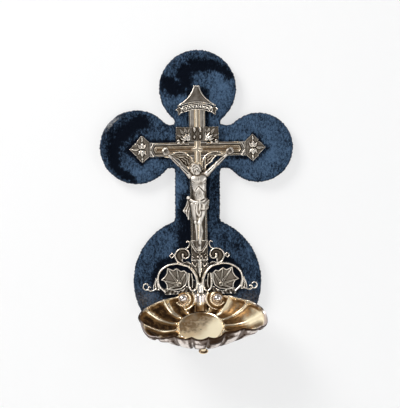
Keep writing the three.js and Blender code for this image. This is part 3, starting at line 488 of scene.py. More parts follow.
measure = link_mesh("measure", outer, velvet_faces)
normals = normals_of(measure)
bpy.data.objects.remove(measure)
inner = outer - normals * velvet_weight
x, y, z = outer.T
pad = 2.3 * velvet_rim(x, y) * rise(z, 2, 5)
waves = 0.22 * smooth_noise(x, y, 16, 3)
tufts = 0.10 * smooth_noise(x * 1.6, y * 0.5, 2.2, 5)
lift = (waves + tufts) * rise(z, 3, 6)
fuzz = 0.2 * smooth_noise(x, y, 2.4, 8) + 0.16 * smooth_noise(x, y, 1.6, 9)
outer = outer + normals * fuzz[:, None]
outer[:, 2] += pad + lift
count = len(outer)
velvet_faces += [[corner + count for corner in face[::-1]] for face in velvet_faces]
for row in last_rows:
    velvet_faces += joining(row, [corner + count for corner in row])


def wall_frame(points):
    """Takes x, y and z in millimetres to the frame's metres."""
    x, y, z = np.asarray(points, float).T
    return np.stack([x, -z, y], 1) / 1000


def shade_smooth(made, angle=40):
    made.data.shade_smooth()
    made.data.set_sharp_from_angle(angle=math.radians(angle))


def mark(made, name, values):
    """Writes a number on every point of a mesh, for its finish to read."""
    layer = made.data.attributes.new(name, "FLOAT", "POINT")
    layer.data.foreach_set("value", np.asarray(values, np.float32))


def read_mark(finish, name):
    return finish.node("ShaderNodeAttribute", {"attribute_name": name}, output=2)


velvet = link_mesh("velvet", wall_frame(np.concatenate([outer, inner])), velvet_faces)
shade_smooth(velvet, 70)
x, y, z = outer.T
edge = np.concatenate([depth_in, np.zeros(count - len(depth_in))])
velvet_marks = {
    "crush_and_shade": crush_and_shade(x, y),
    "lay_and_light": lay_and_light(x, y),
    "edge": edge,
    "bald": bell(disc(x, y, -60.5, 17.5, 0), 0, 5.5) * (edge < 3.2),
    "rubbed": bell(np.abs(x), 37, 9) * bell(y, -107, 6),
}
for name, values in velvet_marks.items():
    mark(velvet, name, np.tile(values, 2))

blue_pile = Finish(
    "blue_velvet",
    Roughness=0.9,
    Sheen_Weight=0.16,
    Sheen_Roughness=0.4,
    Sheen_Tint=(0.35, 0.52, 0.85, 1),
)
blue_pile.shader.inputs["Specular IOR Level"].default_value = 0.06
strokes = noise(blue_pile, 1.3, (1.25, 1, 0.75), 4, 0.7)
lay = noise(blue_pile, 8.0, (1, 1, 0.8), 3)
speck = noise(blue_pile, 0.5, (1.2, 1, 0.8), 3, 0.7)
# The pile's lightness: its lay with painted light, less crushed pile and painted shade.
pile_lay_and_shading = (read_mark(blue_pile, "lay_and_light") - 0.5) * 0.9 - read_mark(blue_pile, "crush_and_shade") * 0.85
light_pile = strokes * 2.6 + speck * 1.5 + lay * 0.6 - 1.85 + pile_lay_and_shading
light_pile = between(blue_pile, light_pile, 0.0, 1.1)
pile = blend(blue_pile, light_pile, (0.0018, 0.0035, 0.008, 1), (0.078, 0.138, 0.232, 1))
rim_dark = 1 - between(blue_pile, read_mark(blue_pile, "edge"), 0.0, 1.3)
pile = blend(blue_pile, rim_dark * 0.8, pile, (0.006, 0.008, 0.014, 1))
weave = noise(blue_pile, 1.0, detail=4)
rubbed = between(blue_pile, weave, 0.3, 0.75) * read_mark(blue_pile, "rubbed") * 0.75
pile = blend(blue_pile, rubbed, pile, (0.16, 0.14, 0.125, 1))
thread = between(blue_pile, weave, 0.42, 0.6) * read_mark(blue_pile, "bald")
pile = blend(blue_pile, thread * 0.9, pile, (0.42, 0.41, 0.40, 1))
blue_pile.feed("Base Color", pile)
bump(blue_pile, strokes + speck * 0.8, 0.9, 0.0005)


def settle(piece, finish, node=None):
    """Gives a made piece its finish, fixes it to the font and lets it stand for a frame's own."""
    piece.data.materials.append(finish.material)
    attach(piece, "font")
    if node:
        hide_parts(node)


settle(velvet, blue_pile, "velvet_cover")

# Cross
# Two cast silver strips, halved over each other, each with a raised border and a sunk panel. The
# beam's ends close in a point, where the finials begin.

askew = math.radians(1.1)
cross_back = 7.2
cross_panel = 8.7
upright_half = 6.2
upright_middle = (0, -20.85)
beam_half = 5.3
beam_line = -1.6


def plaque_frame(points):
    """The silver's own millimetres, which hang askew on the board, to the frame's metres."""
    x, y, z = np.asarray(points, float).T
    turned_x = x * math.cos(askew) - y * math.sin(askew)
    return wall_frame(np.stack([turned_x, x * math.sin(askew) + y * math.cos(askew), z], 1))


def places_of(made):
    """Where a mesh's points lie in the frame, whose z is up, in millimetres."""
    places = np.zeros(3 * len(made.data.vertices))
    made.data.vertices.foreach_get("co", places)
    return places.reshape(-1, 3) * 1000


def hollows(points, normals, edges, rounds, full):
    """How far each point lies below the metal around it: above 0 in hollows, below 0 on ridges."""
    one, two = np.concatenate([edges, edges[:, ::-1]]).T
    near = np.bincount(one, minlength=len(points))
    even = points.copy()
    for _ in range(rounds):
        for axis in range(3):
            pull = np.bincount(one, even[two, axis], len(points))
            even[:, axis] = even[:, axis] * 0.4 + 0.6 * pull / near
    return ((even - points) * normals).sum(1) / full


def cast(name, points, faces, rounds=10, full=0.22, angle=60, worn=None):
    """A piece of cast metal, with the depth of its hollows kept on its points. Where its front
    reaches the worn heights, hands have kept it bright."""
    points = np.asarray(points, float)
    made = link_mesh(name, plaque_frame(points), faces)
    shade_smooth(made, angle)
    normals = normals_of(made)[:, [0, 2, 1]] * (1, 1, -1)
    edges = np.zeros(2 * len(made.data.edges), np.int32)
    made.data.edges.foreach_get("vertices", edges)
    depth = hollows(points, normals, edges.reshape(-1, 2), rounds, full)
    if worn:
        depth += 0.28 - 0.62 * rise(points[:, 2], *worn)
    mark(made, "hollow", depth)
    return made


def relief(
    name, node, finish, slot, field, front, low, high,
    back=cross_back, step=0.3, side=1, rim_dull=0, **looks,
):
    """A flat-backed casting: an outline, and a front whose height is worked out at each point."""
    x, y, squares, rim = sheet_of(field, low, high, step)
    top = np.broadcast_to(front(x, y, -field(x, y)), x.shape)
    foot = np.broadcast_to(back(x, y) if callable(back) else back, x.shape)
    count = len(x)
    walls = np.stack([rim[:, 1], rim[:, 0], rim[:, 0] + count, rim[:, 1] + count], 1)
    faces = np.concatenate([squares, squares[:, ::-1] + count, walls])
    if side < 0:
        faces = faces[:, ::-1]
    points = np.concatenate([np.stack([x * side, y, z], 1) for z in (top, foot)])
    made = cast(name, points, faces, **looks)
    # Darker along the outline.
    if rim_dull:
        mark(made, "dull", np.tile(rim_dull * (1 - rise(-field(x, y), 0.3, 0.9)), 2))
    settle(made, finish, node)
    return made


def ridge(away, middle, half, height=1.0):
    """A rounded ridge, from its middle line out to half its width."""
    return height * np.sqrt(np.clip(1 - ((away - middle) / half) ** 2, 0, 1))


def strip_front(away, half):
    """A strip's section: a round border, a fillet line inside it and a slightly dished panel."""
    panel = cross_panel - 0.12 * np.cos(np.clip(away / half, 0, 1) * math.pi)
    return panel + ridge(away, half - 0.5, 0.5, 0.6) + ridge(away, half - 1.6, 0.28, 0.22)


def upright_height(x, y, depth):
    front = strip_front(np.abs(x), upright_half)
    under_beam = np.abs(y - beam_line) < beam_half + 0.15
    return np.where(under_beam, 7.9, np.minimum(front, cross_back + 0.6 + depth * 3))


def beam_end(x, y):
    """How far along the beam a point lies, measured to the chevron at its end."""
    return np.abs(x) + np.abs(y - beam_line) * 0.52


def beam_height(x, y, depth):
    end = beam_end(x, y)
    chevron = cross_panel + ridge(end, 33.2, 0.5, 0.6) + ridge(end, 31.9, 0.28, 0.24)
    front = np.maximum(strip_front(np.abs(y - beam_line), beam_half), chevron)
    front = np.where(end > 32.6, chevron, front)
    plain = (np.abs(x) < upright_half) & (np.abs(y - beam_line) > beam_half - 2.3)
    return np.minimum(np.where(plain, cross_panel, front), cross_back + 0.6 + depth * 3)


def old_metal(name, bright, film, crust, low_rough=0.22, film_start=-0.3, film_end=0.25):
    """Bright on its ridges, filmed with tarnish on the flats and crusted in its hollows. A second
    mark on a piece deepens this; on the figure that mark is painted shade.
    """
    metal = Finish(name, Metallic=1.0)
    depth = read_mark(metal, "hollow") + read_mark(metal, "dull")
    cloud = noise(metal, 4.0, detail=5)
    grit = noise(metal, 0.4, detail=3)
    filmed = between(metal, depth + (cloud - 0.5) * 0.5, film_start, film_end)
    crusted = between(metal, depth + (grit - 0.5) * 0.5 + (cloud - 0.5) * 0.3, 0.12, 0.7)
    tone = blend(metal, filmed, bright, film)
    metal.feed("Base Color", blend(metal, crusted, tone, crust))
    metal.feed("Roughness", filmed * 0.2 + crusted * 0.25 + low_rough)
    bump(metal, grit + noise(metal, 1.3, detail=2) * 1.5, 0.22, 0.0001)
    return metal


silver = old_metal(
    "old_silver", (0.93, 0.86, 0.76, 1), (0.135, 0.110, 0.085, 1), (0.024, 0.017, 0.011, 1)
)
cross_upright = relief(
    "cross_upright_cast", "cross_upright", silver, "silver",
    lambda x, y: slab(x, y, upright_middle, upright_half, 51.25), upright_height,
    (-7, -73), (7, 31), worn=(8.8, 9.35),
)
mark(cross_upright, "dull", -0.32 * rise(places_of(cross_upright)[:, 2], 12, 16))
relief(
    "cross_beam_cast", "cross_beam", silver, "silver",
    lambda x, y: slab(x, y, (0, beam_line), 33.5, beam_half), beam_height,
    (-35, -8), (35, 5), worn=(8.8, 9.35),
    back=lambda x, y: np.where(np.abs(x) < upright_half + 0.1, 8.0, cross_back),
)

# Gilt ridges
# A gilt silver strip is let into the panels of both arms. Its edges stand up as thin bright
# lines, and it ends in a point at each end of the beam.

gilt_half = 2.25


def gilt_outline(x, y):
    stem = slab(x, y, upright_middle, gilt_half, 51.1)
    pointed = np.maximum(np.abs(y - beam_line) - gilt_half, beam_end(x, y) - 30.4)
    return np.minimum(stem, pointed)


def gilt_height(x, y, depth):
    return 9.0 + ridge(depth, 0.34, 0.36, 0.5) + ridge(depth, 1.3, 0.26, 0.28)


gilt = old_metal(
    "old_gilt", (0.93, 0.80, 0.62, 1), (0.25, 0.165, 0.098, 1), (0.045, 0.024, 0.011, 1),
    film_start=-0.25, film_end=0.3,
)
gilt_inlay = relief(
    "gilt_ridges", "gilt_inlay", gilt, "gilt", gilt_outline, gilt_height,
    (-32, -73), (32, 31), back=8.75, step=0.26,
)
off_stem = rise(np.abs(places_of(gilt_inlay)[:, 0] + 0.3), 2.2, 5.0)
mark(gilt_inlay, "dull", 0.75 * off_stem - 0.5)

# Finials
# Each end of the beam carries a cast kite with small notches in its outer edges. Petals lie back
# to back across its middle, with a dark line between them, and run out to its points.

finial_middle = (39.2, -1.2)
finial_corners = [
    (-4.6, 5.9), (-0.6, 9.6), (3.4, 5.6), (3.0, 4.7), (4.4, 4.2), (8.3, 0.2), (4.4, -3.9),
    (3.0, -4.5), (3.4, -5.4), (-0.6, -9.3), (-4.6, -5.7), (-5.6, -4.8), (-5.6, 4.9),
]
finial_petals = (
    (1.5, (-0.4, 0.5), (-0.5, 5.2), 1.5, 0.8),
    (0.9, (0.2, 0.3), (2.6, 3.9), 0.9, 0.7),
    (0.9, (-0.8, 0.3), (-3.4, 3.8), 0.9, 0.7),
    (0.8, (-0.5, 5.4), (-0.6, 8.9), 0.7, 0.7),
)


def polygon(x, y, corners):
    """How far points lie outside a shape with straight sides; below zero inside it."""
    corners = np.asarray(corners, float)
    away, _ = lines_between(x, y, corners, closed=True)
    inside = np.zeros(x.shape, bool)
    for (ax, ay), (bx, by) in zip(corners, np.roll(corners, -1, 0)):
        if ay != by:
            crossing = (y > min(ay, by)) & (y <= max(ay, by))
            inside ^= crossing & (x < ax + (y - ay) * (bx - ax) / (by - ay))
    return np.where(inside, -away, away)


def petal(x, y, base, tip, width, fullness=0.7, vein=0.35):
    """A pointed petal: 1 along its back, 0 at its edge, with a groove down its middle."""
    length = math.hypot(tip[0] - base[0], tip[1] - base[1])
    ux, uy = (tip[0] - base[0]) / length, (tip[1] - base[1]) / length
    along = ((x - base[0]) * ux + (y - base[1]) * uy) / length
    across = (y - base[1]) * ux - (x - base[0]) * uy
    half = width * np.sin(math.pi * np.clip(along, 0.0, 1.0) ** fullness) + 1e-6
    round_back = np.sqrt(np.clip(1 - (across / half) ** 2, 0, 1)) * (along > 0) * (along < 1)
    return round_back * (1 - vein * bell(across, 0, 0.22 * width))


def finial_outline(x, y):
    return polygon(x - finial_middle[0], y - finial_middle[1], finial_corners)


def finial_height(x, y, depth):
    u, v = x - finial_middle[0], y - finial_middle[1]
    border = ridge(depth, 0.35, 0.4, 0.12) * rise(u, -5.2, -4.2)
    ground = 8.3 + border + 0.08 * np.sin((u + v) * 4.2) * np.sin((u - v) * 4.2)
    lobes = [0.9 * petal(u, v, (1.6, 0), (7.4, 0.1), 0.9, vein=0.8)]
    for height, *shape in finial_petals:
        lobes += [height * petal(u, v * flip, *shape) for flip in (1, -1)]
    return ground + highest(*lobes) - 0.5 * bell(v, 0, 0.3) * (np.abs(u) < 1.8)


def relief_pair(kind, finish, slot, *shape, **looks):
    """A left and a right casting, mirror images of each other."""
    for hand, side in (("left", -1), ("right", 1)):
        relief(f"{kind}_{hand}_cast", f"{kind}_{hand}", finish, slot, *shape, side=side, **looks)


relief_pair(
    "finial", silver, "silver", finial_outline, finial_height, (32, -12), (49, 10),
    step=0.22, rounds=12, full=0.46, worn=(7.6, 10.3), rim_dull=0.5,
)

# Gable and title band
# A small roof with hollow sides caps the upright. Below it lies a curved ribbon with folded ends,
# whose face carries only a row of beads and bars.

gable_top = 43.1
gable_foot = 29.3
gable_reach = 13.6


def gable_half(y):
    down = np.clip((gable_top - y) / (gable_top - gable_foot), 0, 1)
    return 2.1 + 2.5 * down + 5.4 * down**2 + 3.6 * down**3.5


def gable_outline(x, y):
    slope = (np.abs(x) - gable_half(y)) * (0.9 - 0.35 * rise(-y, -36, -29))
    bottom = 28.0 + 2.9 * np.cos(np.clip(x / gable_reach, -1, 1) * math.pi / 2) - y
    return highest(slope, np.abs(x) - gable_reach, y - gable_top, bottom)


def gable_height(x, y, depth):
    face = 8.65 + 0.06 * bell(x, 0, 1.2) + 0.015 * (gable_top - y)
    return np.minimum(face + ridge(depth, 0.5, 0.55, 0.4), 8.3 + 3 * depth)


relief(
    "gable_cast", "gable_cap", silver, "silver", gable_outline, gable_height,
    (-15, 26), (15, 44), step=0.15, worn=(8.3, 9.9), rim_dull=0.2,
)

band_centre = (0.1, 3.0)
band_middle = 25.1
band_half = 2.2
band_reach = 0.395
band_beads = 8
band_tail = [
    (8.6, 24.4), (10.0, 27.2), (12.6, 28.0), (15.0, 25.9), (13.4, 25.2), (13.0, 21.6), (11.4, 23.4),
]


def band_place(x, y):
    """How far a point lies from the middle of the ribbon's arc, and its angle from the top."""
    u, v = x - band_centre[0], y - band_centre[1]
    return np.abs(np.hypot(u, v) - band_middle), np.arctan2(u, v)


def ribbon_outline(x, y):
    off_middle, angle = band_place(x, y)
    face = np.maximum(off_middle - band_half, (np.abs(angle) - band_reach) * 25)
    return np.minimum(face, polygon(np.abs(x), y, band_tail))


def ribbon_height(x, y, depth):
    off_middle, angle = band_place(x, y)
    turn = angle / (2 * band_reach) * band_beads
    bead = np.hypot((turn - np.round(turn)) / 0.27, off_middle / 0.95)
    on_bar = (np.abs(turn - np.floor(turn) - 0.5) < 0.07) & (off_middle < 1.25)
    face = 10.0 + np.maximum(ridge(bead, 0, 1, 0.42), 0.32 * on_bar) + ridge(depth, 0.32, 0.34, 0.5)
    fold = 9.75 + 0.5 * np.sin((np.abs(x) - 9.5) * 1.5) + ridge(depth, 0.3, 0.32, 0.3)
    return np.where(np.abs(angle) < band_reach, face, fold)


relief(
    "title_ribbon", "titulus_scroll", silver, "dark_silver", ribbon_outline, ribbon_height,
    (-16, 20), (16, 31.5), back=9.53, step=0.2, worn=(10.05, 10.45),
)

# Corner leaves
# Two square acanthus leaves fill the corners above the beam. Long fronds spring from the inner
# corner, small drops hang over the beam, and two pairs of buds stand between the leaves.

corner_look = {"step": 0.18, "rounds": 16, "full": 0.3, "worn": (9.5, 11.0)}


def corner_outline(x, y):
    frill = 0.16 * np.sin(y * 2.6) * rise(x, 10, 13) + 0.16 * np.sin(x * 2.6) * rise(y, 9, 12)
    left_drop = slab(x, y, (9.8, 2.95), 0.95, 1.2)
    right_drop = slab(x, y, (13.4, 3.05), 1.3, 1.1)
    return lowest(slab(x, y, (9.7, 8.9), 5.15, 4.9) + frill, left_drop, right_drop)


def corner_height(x, y, depth):
    ground = 9.75 + 0.04 * np.sin(x * 7.1 + y) * np.sin(y * 7.3) + ridge(depth, 0.3, 0.3, 0.1)
    eye = np.hypot(x - 7.8, y - 3.9)
    fronds = [ridge(np.hypot(x - 6.0, y - 5.4), 0, 1.3, 1.3), ridge(eye, 1.0, 0.35, 1.1)]
    for tip in ((5.9, 10.3), (8.9, 10.4), (11.4, 8.6), (12.3, 6.0)):
        fronds.append(1.3 * petal(x, y, (5.4, 4.2), tip, 0.95, 1.0, 0.1))
    leaves = [highest(*fronds) * (1 - 0.95 * (eye < 0.7))]
    for tip in ((5.2, 13.2), (8.6, 13.4), (12.2, 12.6), (14.3, 8.6)):
        leaves.append(0.24 * petal(x, y, (6.6, 5.6), tip, 1.0, 1.4, 0.4))
    leaves.append(1.4 * petal(x, y, (9.7, 4.4), (9.7, 1.0), 1.1, vein=0))
    leaves.append(1.6 * petal(x, y, (13.1, 5.2), (13.4, 1.1), 1.5, vein=0))
    return np.minimum(ground + highest(*leaves), 9.9 + 3 * depth)


def bud_outline(x, y):
    return slab(x, y, (0, 8.9), 4.35, 4.9)


def bud_height(x, y, depth):
    buds = []
    for middle, half, width in ((11.6, 2.3, 1.15), (6.6, 1.6, 0.95)):
        base, tip = (1.9, middle - half), (2.1, middle + half)
        buds.append(1.35 * petal(np.abs(x), y, base, tip, width, 1.5, 0))
    return np.minimum(9.7 - 0.25 * bell(x, 0, 0.5) + highest(*buds), 9.9 + 3 * depth)


relief_pair(
    "corner_leaf", silver, "silver", corner_outline, corner_height, (4, 0), (15.5, 14.5),
    back=9.45, rim_dull=0.4, **corner_look,
)
relief(
    "crossing_buds", None, silver, "silver", bud_outline, bud_height, (-5, 3.5), (5, 14.5),
    back=9.55, **corner_look,
)

# Lower webs
# A pierced crescent fills each corner below the beam: a bright round rim towards the crossing, a
# matted field, and a wavy outer edge.


def curve(places, each=7):
    """A smooth path through the places given."""
    places = np.asarray(places, float)
    ends = np.concatenate([2 * places[:1] - places[1:2], places, 2 * places[-1:] - places[-2:-1]])
    t = np.linspace(0, 1, each, endpoint=False)[:, None]
    path = []
    for a, b, c, d in zip(ends, ends[1:], ends[2:], ends[3:]):
        bend = (2 * a - 5 * b + 4 * c - d) * t**2 + (3 * b - a - 3 * c + d) * t**3
        path.append(b + ((c - a) * t + bend) / 2)
    return np.concatenate(path + [places[-1:]])


web_rim = [(22.0, -4.2)]
for turn in np.radians(range(60, 196, 9)):
    web_rim.append((12.5 + 10.2 * math.cos(turn), -13.1 + 10.2 * math.sin(turn)))
web_wave = curve(
    [
        (2.6, -18.4), (4.2, -17.0), (5.3, -14.8), (6.9, -12.5), (9.3, -10.9),
        (11.0, -8.6), (13.4, -6.5), (18.0, -6.0), (22.0, -5.6),
    ]
)


def away_from(x, y, path):
    """How far points lie from a path of straight lines."""
    return lines_between(x, y, path)[0]


def web_shape(wave_path):
    """A web's outline and height: fine lines follow its rim, and its other edge is wavy."""

    def outline(x, y):
        return polygon(x, y, web_rim + wave_path.tolist())

    def height(x, y, depth):
        rim, share = lines_between(x, y, web_rim)
        feathers = 0.13 * np.sin(rim * 3.6 + 0.8 * np.sin(share * 30)) * rise(rim, 1.2, 2.0)
        wave = ridge(away_from(x, y, wave_path), 0.35, 0.5, 1.2)
        return 8.2 + highest(ridge(rim, 0.5, 0.66, 1.45), wave, feathers + 0.2)

    return outline, height


web_silver = old_metal(
    "web_silver", (0.88, 0.80, 0.68, 1), (0.16, 0.11, 0.068, 1), (0.03, 0.019, 0.012, 1)
)
for hand, side, shift in (("left", -1, (1.2, -1.5)), ("right", 1, (0, 0))):
    relief(
        f"lower_web_{hand}_cast", f"lower_web_{hand}", web_silver, "dark_silver",
        *web_shape(web_wave + shift), (2, -22), (25, -2),
        back=7.25, step=0.18, side=side, rounds=20, worn=(8.4, 9.2),
    )

# Corpus
# A small silver figure, cast in one and chased: arms drawn up to the nails, head bowed to its right
# with long hair and a twisted wreath, and a cloth knotted at the hip. The face is calm and plain.

figure_low = np.array((-25.6, -74.0, 9.2))
figure_high = np.array((25.6, 0.5, 19.6))
figure_step = 0.22
figure_back = 9.85


class Clay:
    """A lump on a grid of points. What is added melts in; what is pressed in leaves a hollow."""

    def __init__(self, low, high, step):
        self.low, self.step = low, step
        self.lines = [np.arange(a, b, step, dtype=np.float32) for a, b in zip(low, high)]
        self.depth = np.full([len(line) for line in self.lines], 6.0, np.float32)

    def reach(self, low, high, margin):
        part = []
        for axis in range(3):
            first = int((low[axis] - margin - self.low[axis]) / self.step)
            last = int((high[axis] + margin - self.low[axis]) / self.step) + 2
            part.append(slice(max(first, 0), max(last, 0)))
        lines = [self.lines[axis][part[axis]] for axis in range(3)]
        return tuple(part), np.meshgrid(*lines, indexing="ij", sparse=True)

    def work(self, part, away, soft, press):
        here = self.depth[part]
        self.depth[part] = -melt(-here, away, soft) if press else melt(here, away, soft)

    def limb(self, start, end, start_radius, end_radius, soft=0.5, press=False):
        start, end = np.asarray(start, float), np.asarray(end, float)
        margin = max(start_radius, end_radius) + soft + 3 * self.step
        part, grid = self.reach(np.minimum(start, end), np.maximum(start, end), margin)
        line = end - start
        share = sum((grid[axis] - start[axis]) * line[axis] for axis in range(3))
        share = np.clip(share / max(line @ line, 1e-9), 0, 1)
        away = sum((grid[axis] - start[axis] - line[axis] * share) ** 2 for axis in range(3))
        radius = start_radius + (end_radius - start_radius) * share
        away = np.sqrt(away) - radius
        self.work(part, away, soft, press)

    def rope(self, places, radii, soft=0.3, press=False):
        radii = np.broadcast_to(radii, len(places))
        for one in range(len(places) - 1):
            self.limb(places[one], places[one + 1], radii[one], radii[one + 1], soft, press)

    def egg(self, centre, radii, turn=0.0, soft=0.6, press=False):
        """An egg whose long way is turned in the plane of the wall, in degrees."""
        centre, radii = np.asarray(centre, float), np.asarray(radii, float)
        reach = float(radii.max())
        part, grid = self.reach(centre - reach, centre + reach, soft + 3 * self.step)
        x, y, z = (grid[axis] - centre[axis] for axis in range(3))
        c, s = math.cos(math.radians(turn)), math.sin(math.radians(turn))
        u, v = (x * c + y * s) / radii[0], (y * c - x * s) / radii[1]
        w = z / radii[2]
        near = np.sqrt(u**2 + v**2 + w**2) + 1e-6
        steep = np.sqrt((u / radii[0]) ** 2 + (v / radii[1]) ** 2 + (w / radii[2]) ** 2) + 1e-6
        away = near * (near - 1) / steep
        self.work(part, away, soft, press)

    def skin(self, back):
        """The lump's surface, cut flat at its back: one point for each cell that it crosses, and
        squares that join them."""
        depth = np.maximum(self.depth, back - self.lines[2])
        inside = depth < 0
        corners = [(i, j, k) for i in (0, 1) for j in (0, 1) for k in (0, 1)]
        cells = [size - 1 for size in depth.shape]

        total = 0
        for corner in corners:
            window = tuple(slice(start, start + size) for start, size in zip(corner, cells))
            total = total + inside[window].astype(np.int8)
        crossed = np.argwhere((total > 0) & (total < 8))
        number = np.full(cells, -1)
        number[tuple(crossed.T)] = np.arange(len(crossed))
        places, hits = np.zeros((len(crossed), 3)), np.zeros(len(crossed))
        for axis in range(3):
            for corner in corners:
                if corner[axis]:
                    continue
                first = depth[tuple((crossed + corner).T)]
                step = np.eye(3, dtype=int)[axis]
                second = depth[tuple((crossed + corner + step).T)]
                cut = (first < 0) != (second < 0)
                share = np.where(cut, first / np.where(cut, first - second, 1), 0)
                places += np.where(cut[:, None], np.array(corner) + share[:, None] * step, 0)
                hits += cut
        points = self.low + self.step * (crossed + places / hits[:, None])
        squares = []
        for axis in range(3):
            one, two = (axis + 1) % 3, (axis + 2) % 3
            ahead = np.take(inside, range(1, depth.shape[axis]), axis)
            behind = np.take(inside, range(depth.shape[axis] - 1), axis)
            edge = np.argwhere(ahead != behind)
            edge = edge[(edge[:, one] > 0) & (edge[:, two] > 0)]
            edge = edge[(edge[:, one] < cells[one]) & (edge[:, two] < cells[two])]
            ring = []
            for a, b in ((1, 1), (0, 1), (0, 0), (1, 0)):
                cell = edge.copy()
                cell[:, one] -= a
                cell[:, two] -= b
                ring.append(number[tuple(cell.T)])
            ring = np.stack(ring, 1)
            outward = behind[tuple(edge.T)]
            squares.append(np.where(outward[:, None], ring, ring[:, ::-1]))
        return points, np.concatenate(squares)


figure = Clay(figure_low, figure_high, figure_step)

# Trunk: ribs, chest, belly and hips, swung a little to one side.
figure.egg((0.4, -25.6, 12.6), (5.2, 7.6, 3.3), 3)
figure.limb((-5.0, -20.6, 12.4), (5.6, -19.2, 12.4), 2.1, 2.1, 1.0)
figure.egg((0.9, -32.4, 12.5), (4.6, 6.6, 3.0), -4, 1.8)
figure.egg((1.7, -38.6, 12.6), (5.5, 4.6, 3.0), 0, 1.4)
for x, y, turn in ((-2.0, -22.9, -10), (2.9, -22.6, 10)):
    figure.egg((x, y, 14.6), (2.9, 2.2, 1.1), turn, 1.6)
for x, y, turn in ((-1.5, -28.6, 24), (2.4, -28.5, -24)):
    figure.egg((x, y, 14.4), (1.7, 2.6, 0.9), turn, 1.6)
figure.egg((1.2, -34.8, 14.4), (2.6, 3.4, 1.1), 0, 1.6)
below_chest = [(-4.6, -23.9, 15.0), (-2.4, -25.3, 16.3), (0.4, -24.9, 16.6)]
below_chest += [(3.3, -25.1, 16.3), (5.5, -23.4, 15.0)]
rib_arch = [(-3.9, -32.6, 14.9), (-2.2, -30.6, 15.8), (0.4, -27.6, 16.3)]
rib_arch += [(3.0, -30.4, 15.8), (4.9, -32.2, 14.9)]
for radius, path in (
    (0.5, below_chest),
    (0.52, rib_arch),
    (0.26, [(0.3, -21.0, 16.0), (0.4, -25.6, 16.5), (0.5, -33.0, 16.0)]),
    (0.52, [(-3.6, -36.8, 14.6), (-1.0, -37.6, 15.8), (1.6, -37.8, 15.9), (4.4, -36.4, 15.2)]),
    (0.3, [(-1.4, -33.0, 15.0), (-1.9, -35.2, 15.0), (-1.6, -37.0, 15.2)]),
    (0.3, [(3.9, -33.0, 15.2), (4.4, -35.0, 15.2), (3.9, -36.6, 15.4)]),
):
    figure.rope(path, radius, 0.16, True)
figure.egg((1.2, -34.6, 16.1), (0.3, 0.35, 0.5), 0, 0.15, True)
for flip in (-1, 1):
    for rib in range(4):
        foot = (0.4 + flip * 4.0, -25.8 - 1.5 * rib, 14.7 - 0.15 * rib)
        figure.limb(foot, (foot[0] + flip * 0.9, foot[1] + 0.8, 12.8), 0.2, 0.2, 0.25, True)

# Arms: shoulder, upper arm, forearm and an open hand round each nail.
for flip, shoulder, elbow, wrist, hand in (
    (-1, (-5.2, -20.4), (-12.4, -12.5), (-19.6, -6.0), (-22.3, -3.0)),
    (1, (5.7, -19.2), (13.0, -12.3), (20.0, -6.1), (22.3, -3.0)),
):
    joint = np.array((*shoulder, 12.7))
    bend = np.array((*elbow, 12.2))
    narrow = np.array((*wrist, 11.4))
    palm = np.array((*hand, 11.2))
    figure.limb(joint, bend, 1.85, 1.35, 0.8)
    figure.egg(joint + (bend - joint) * 0.12 + (0, 0, 0.3), (2.1, 1.7, 1.6), flip * 48, 0.7)
    figure.limb(joint + (bend - joint) * 0.3, joint + (bend - joint) * 0.8, 1.35, 1.0, 0.4)
    figure.limb(bend, narrow, 1.35, 0.9, 0.5)
    figure.limb(bend + (narrow - bend) * 0.1, bend + (narrow - bend) * 0.55, 1.65, 1.2, 0.4)
    along = (narrow - joint) / np.linalg.norm(narrow - joint)
    cross = np.array((-along[1], along[0], 0.0))
    for start, end in ((0.1, 0.42), (0.52, 0.86)):
        one = joint + (narrow - joint) * start + cross * 0.15 + (0, 0, 1.75)
        two = joint + (narrow - joint) * end + cross * 0.1 + (0, 0, 1.05)
        figure.limb(one, two, 0.32, 0.3, 0.3, True)
    figure.egg(palm + (-flip * 0.4, -0.5, 0), (2.3, 2.1, 0.95), flip * 40, 0.5)
    thumb = palm - cross * 2.1 + along * 1.2 + (0, 0, 0.9)
    figure.limb(palm - cross * 1.8, thumb, 0.62, 0.5, 0.2)
    for finger in range(4):
        root = palm + cross * (0.75 * finger - 1.3) + along * (1.2 - 0.18 * (finger - 1.5) ** 2)
        knuckles = [root, root + along * 1.0 + (0, 0, 0.45), root + along * 1.05 + (0, 0, 1.25)]
        figure.rope([*knuckles, root + along * 0.35 + (0, 0, 1.7)], (0.48, 0.48, 0.44, 0.36), 0.1)
    figure.egg(palm + (0, 0, 1.6), (1.15, 1.15, 1.3), 0, 0.15, True)

# Neck and head. The head is built upright and turned to its place by one small frame of its own.
head_place = np.array((-1.75, -15.4, 14.0))
head_size = 1.22
roll, bow = math.radians(24), math.radians(20)
head_right = np.array((math.cos(roll), math.sin(roll), 0))
head_up = np.array((-math.sin(roll) * math.cos(bow), math.cos(roll) * math.cos(bow), math.sin(bow)))
head_out = np.cross(head_right, head_up)


def on_head(right, up, out):
    return head_place + head_size * (right * head_right + up * head_up + out * head_out)


def head_limb(start, end, start_radius, end_radius, soft=0.2, press=False):
    start_radius, end_radius = start_radius * head_size, end_radius * head_size
    figure.limb(on_head(*start), on_head(*end), start_radius, end_radius, soft, press)


def head_egg(place, radii, soft):
    figure.egg(on_head(*place), np.array(radii) * head_size, 24, soft)


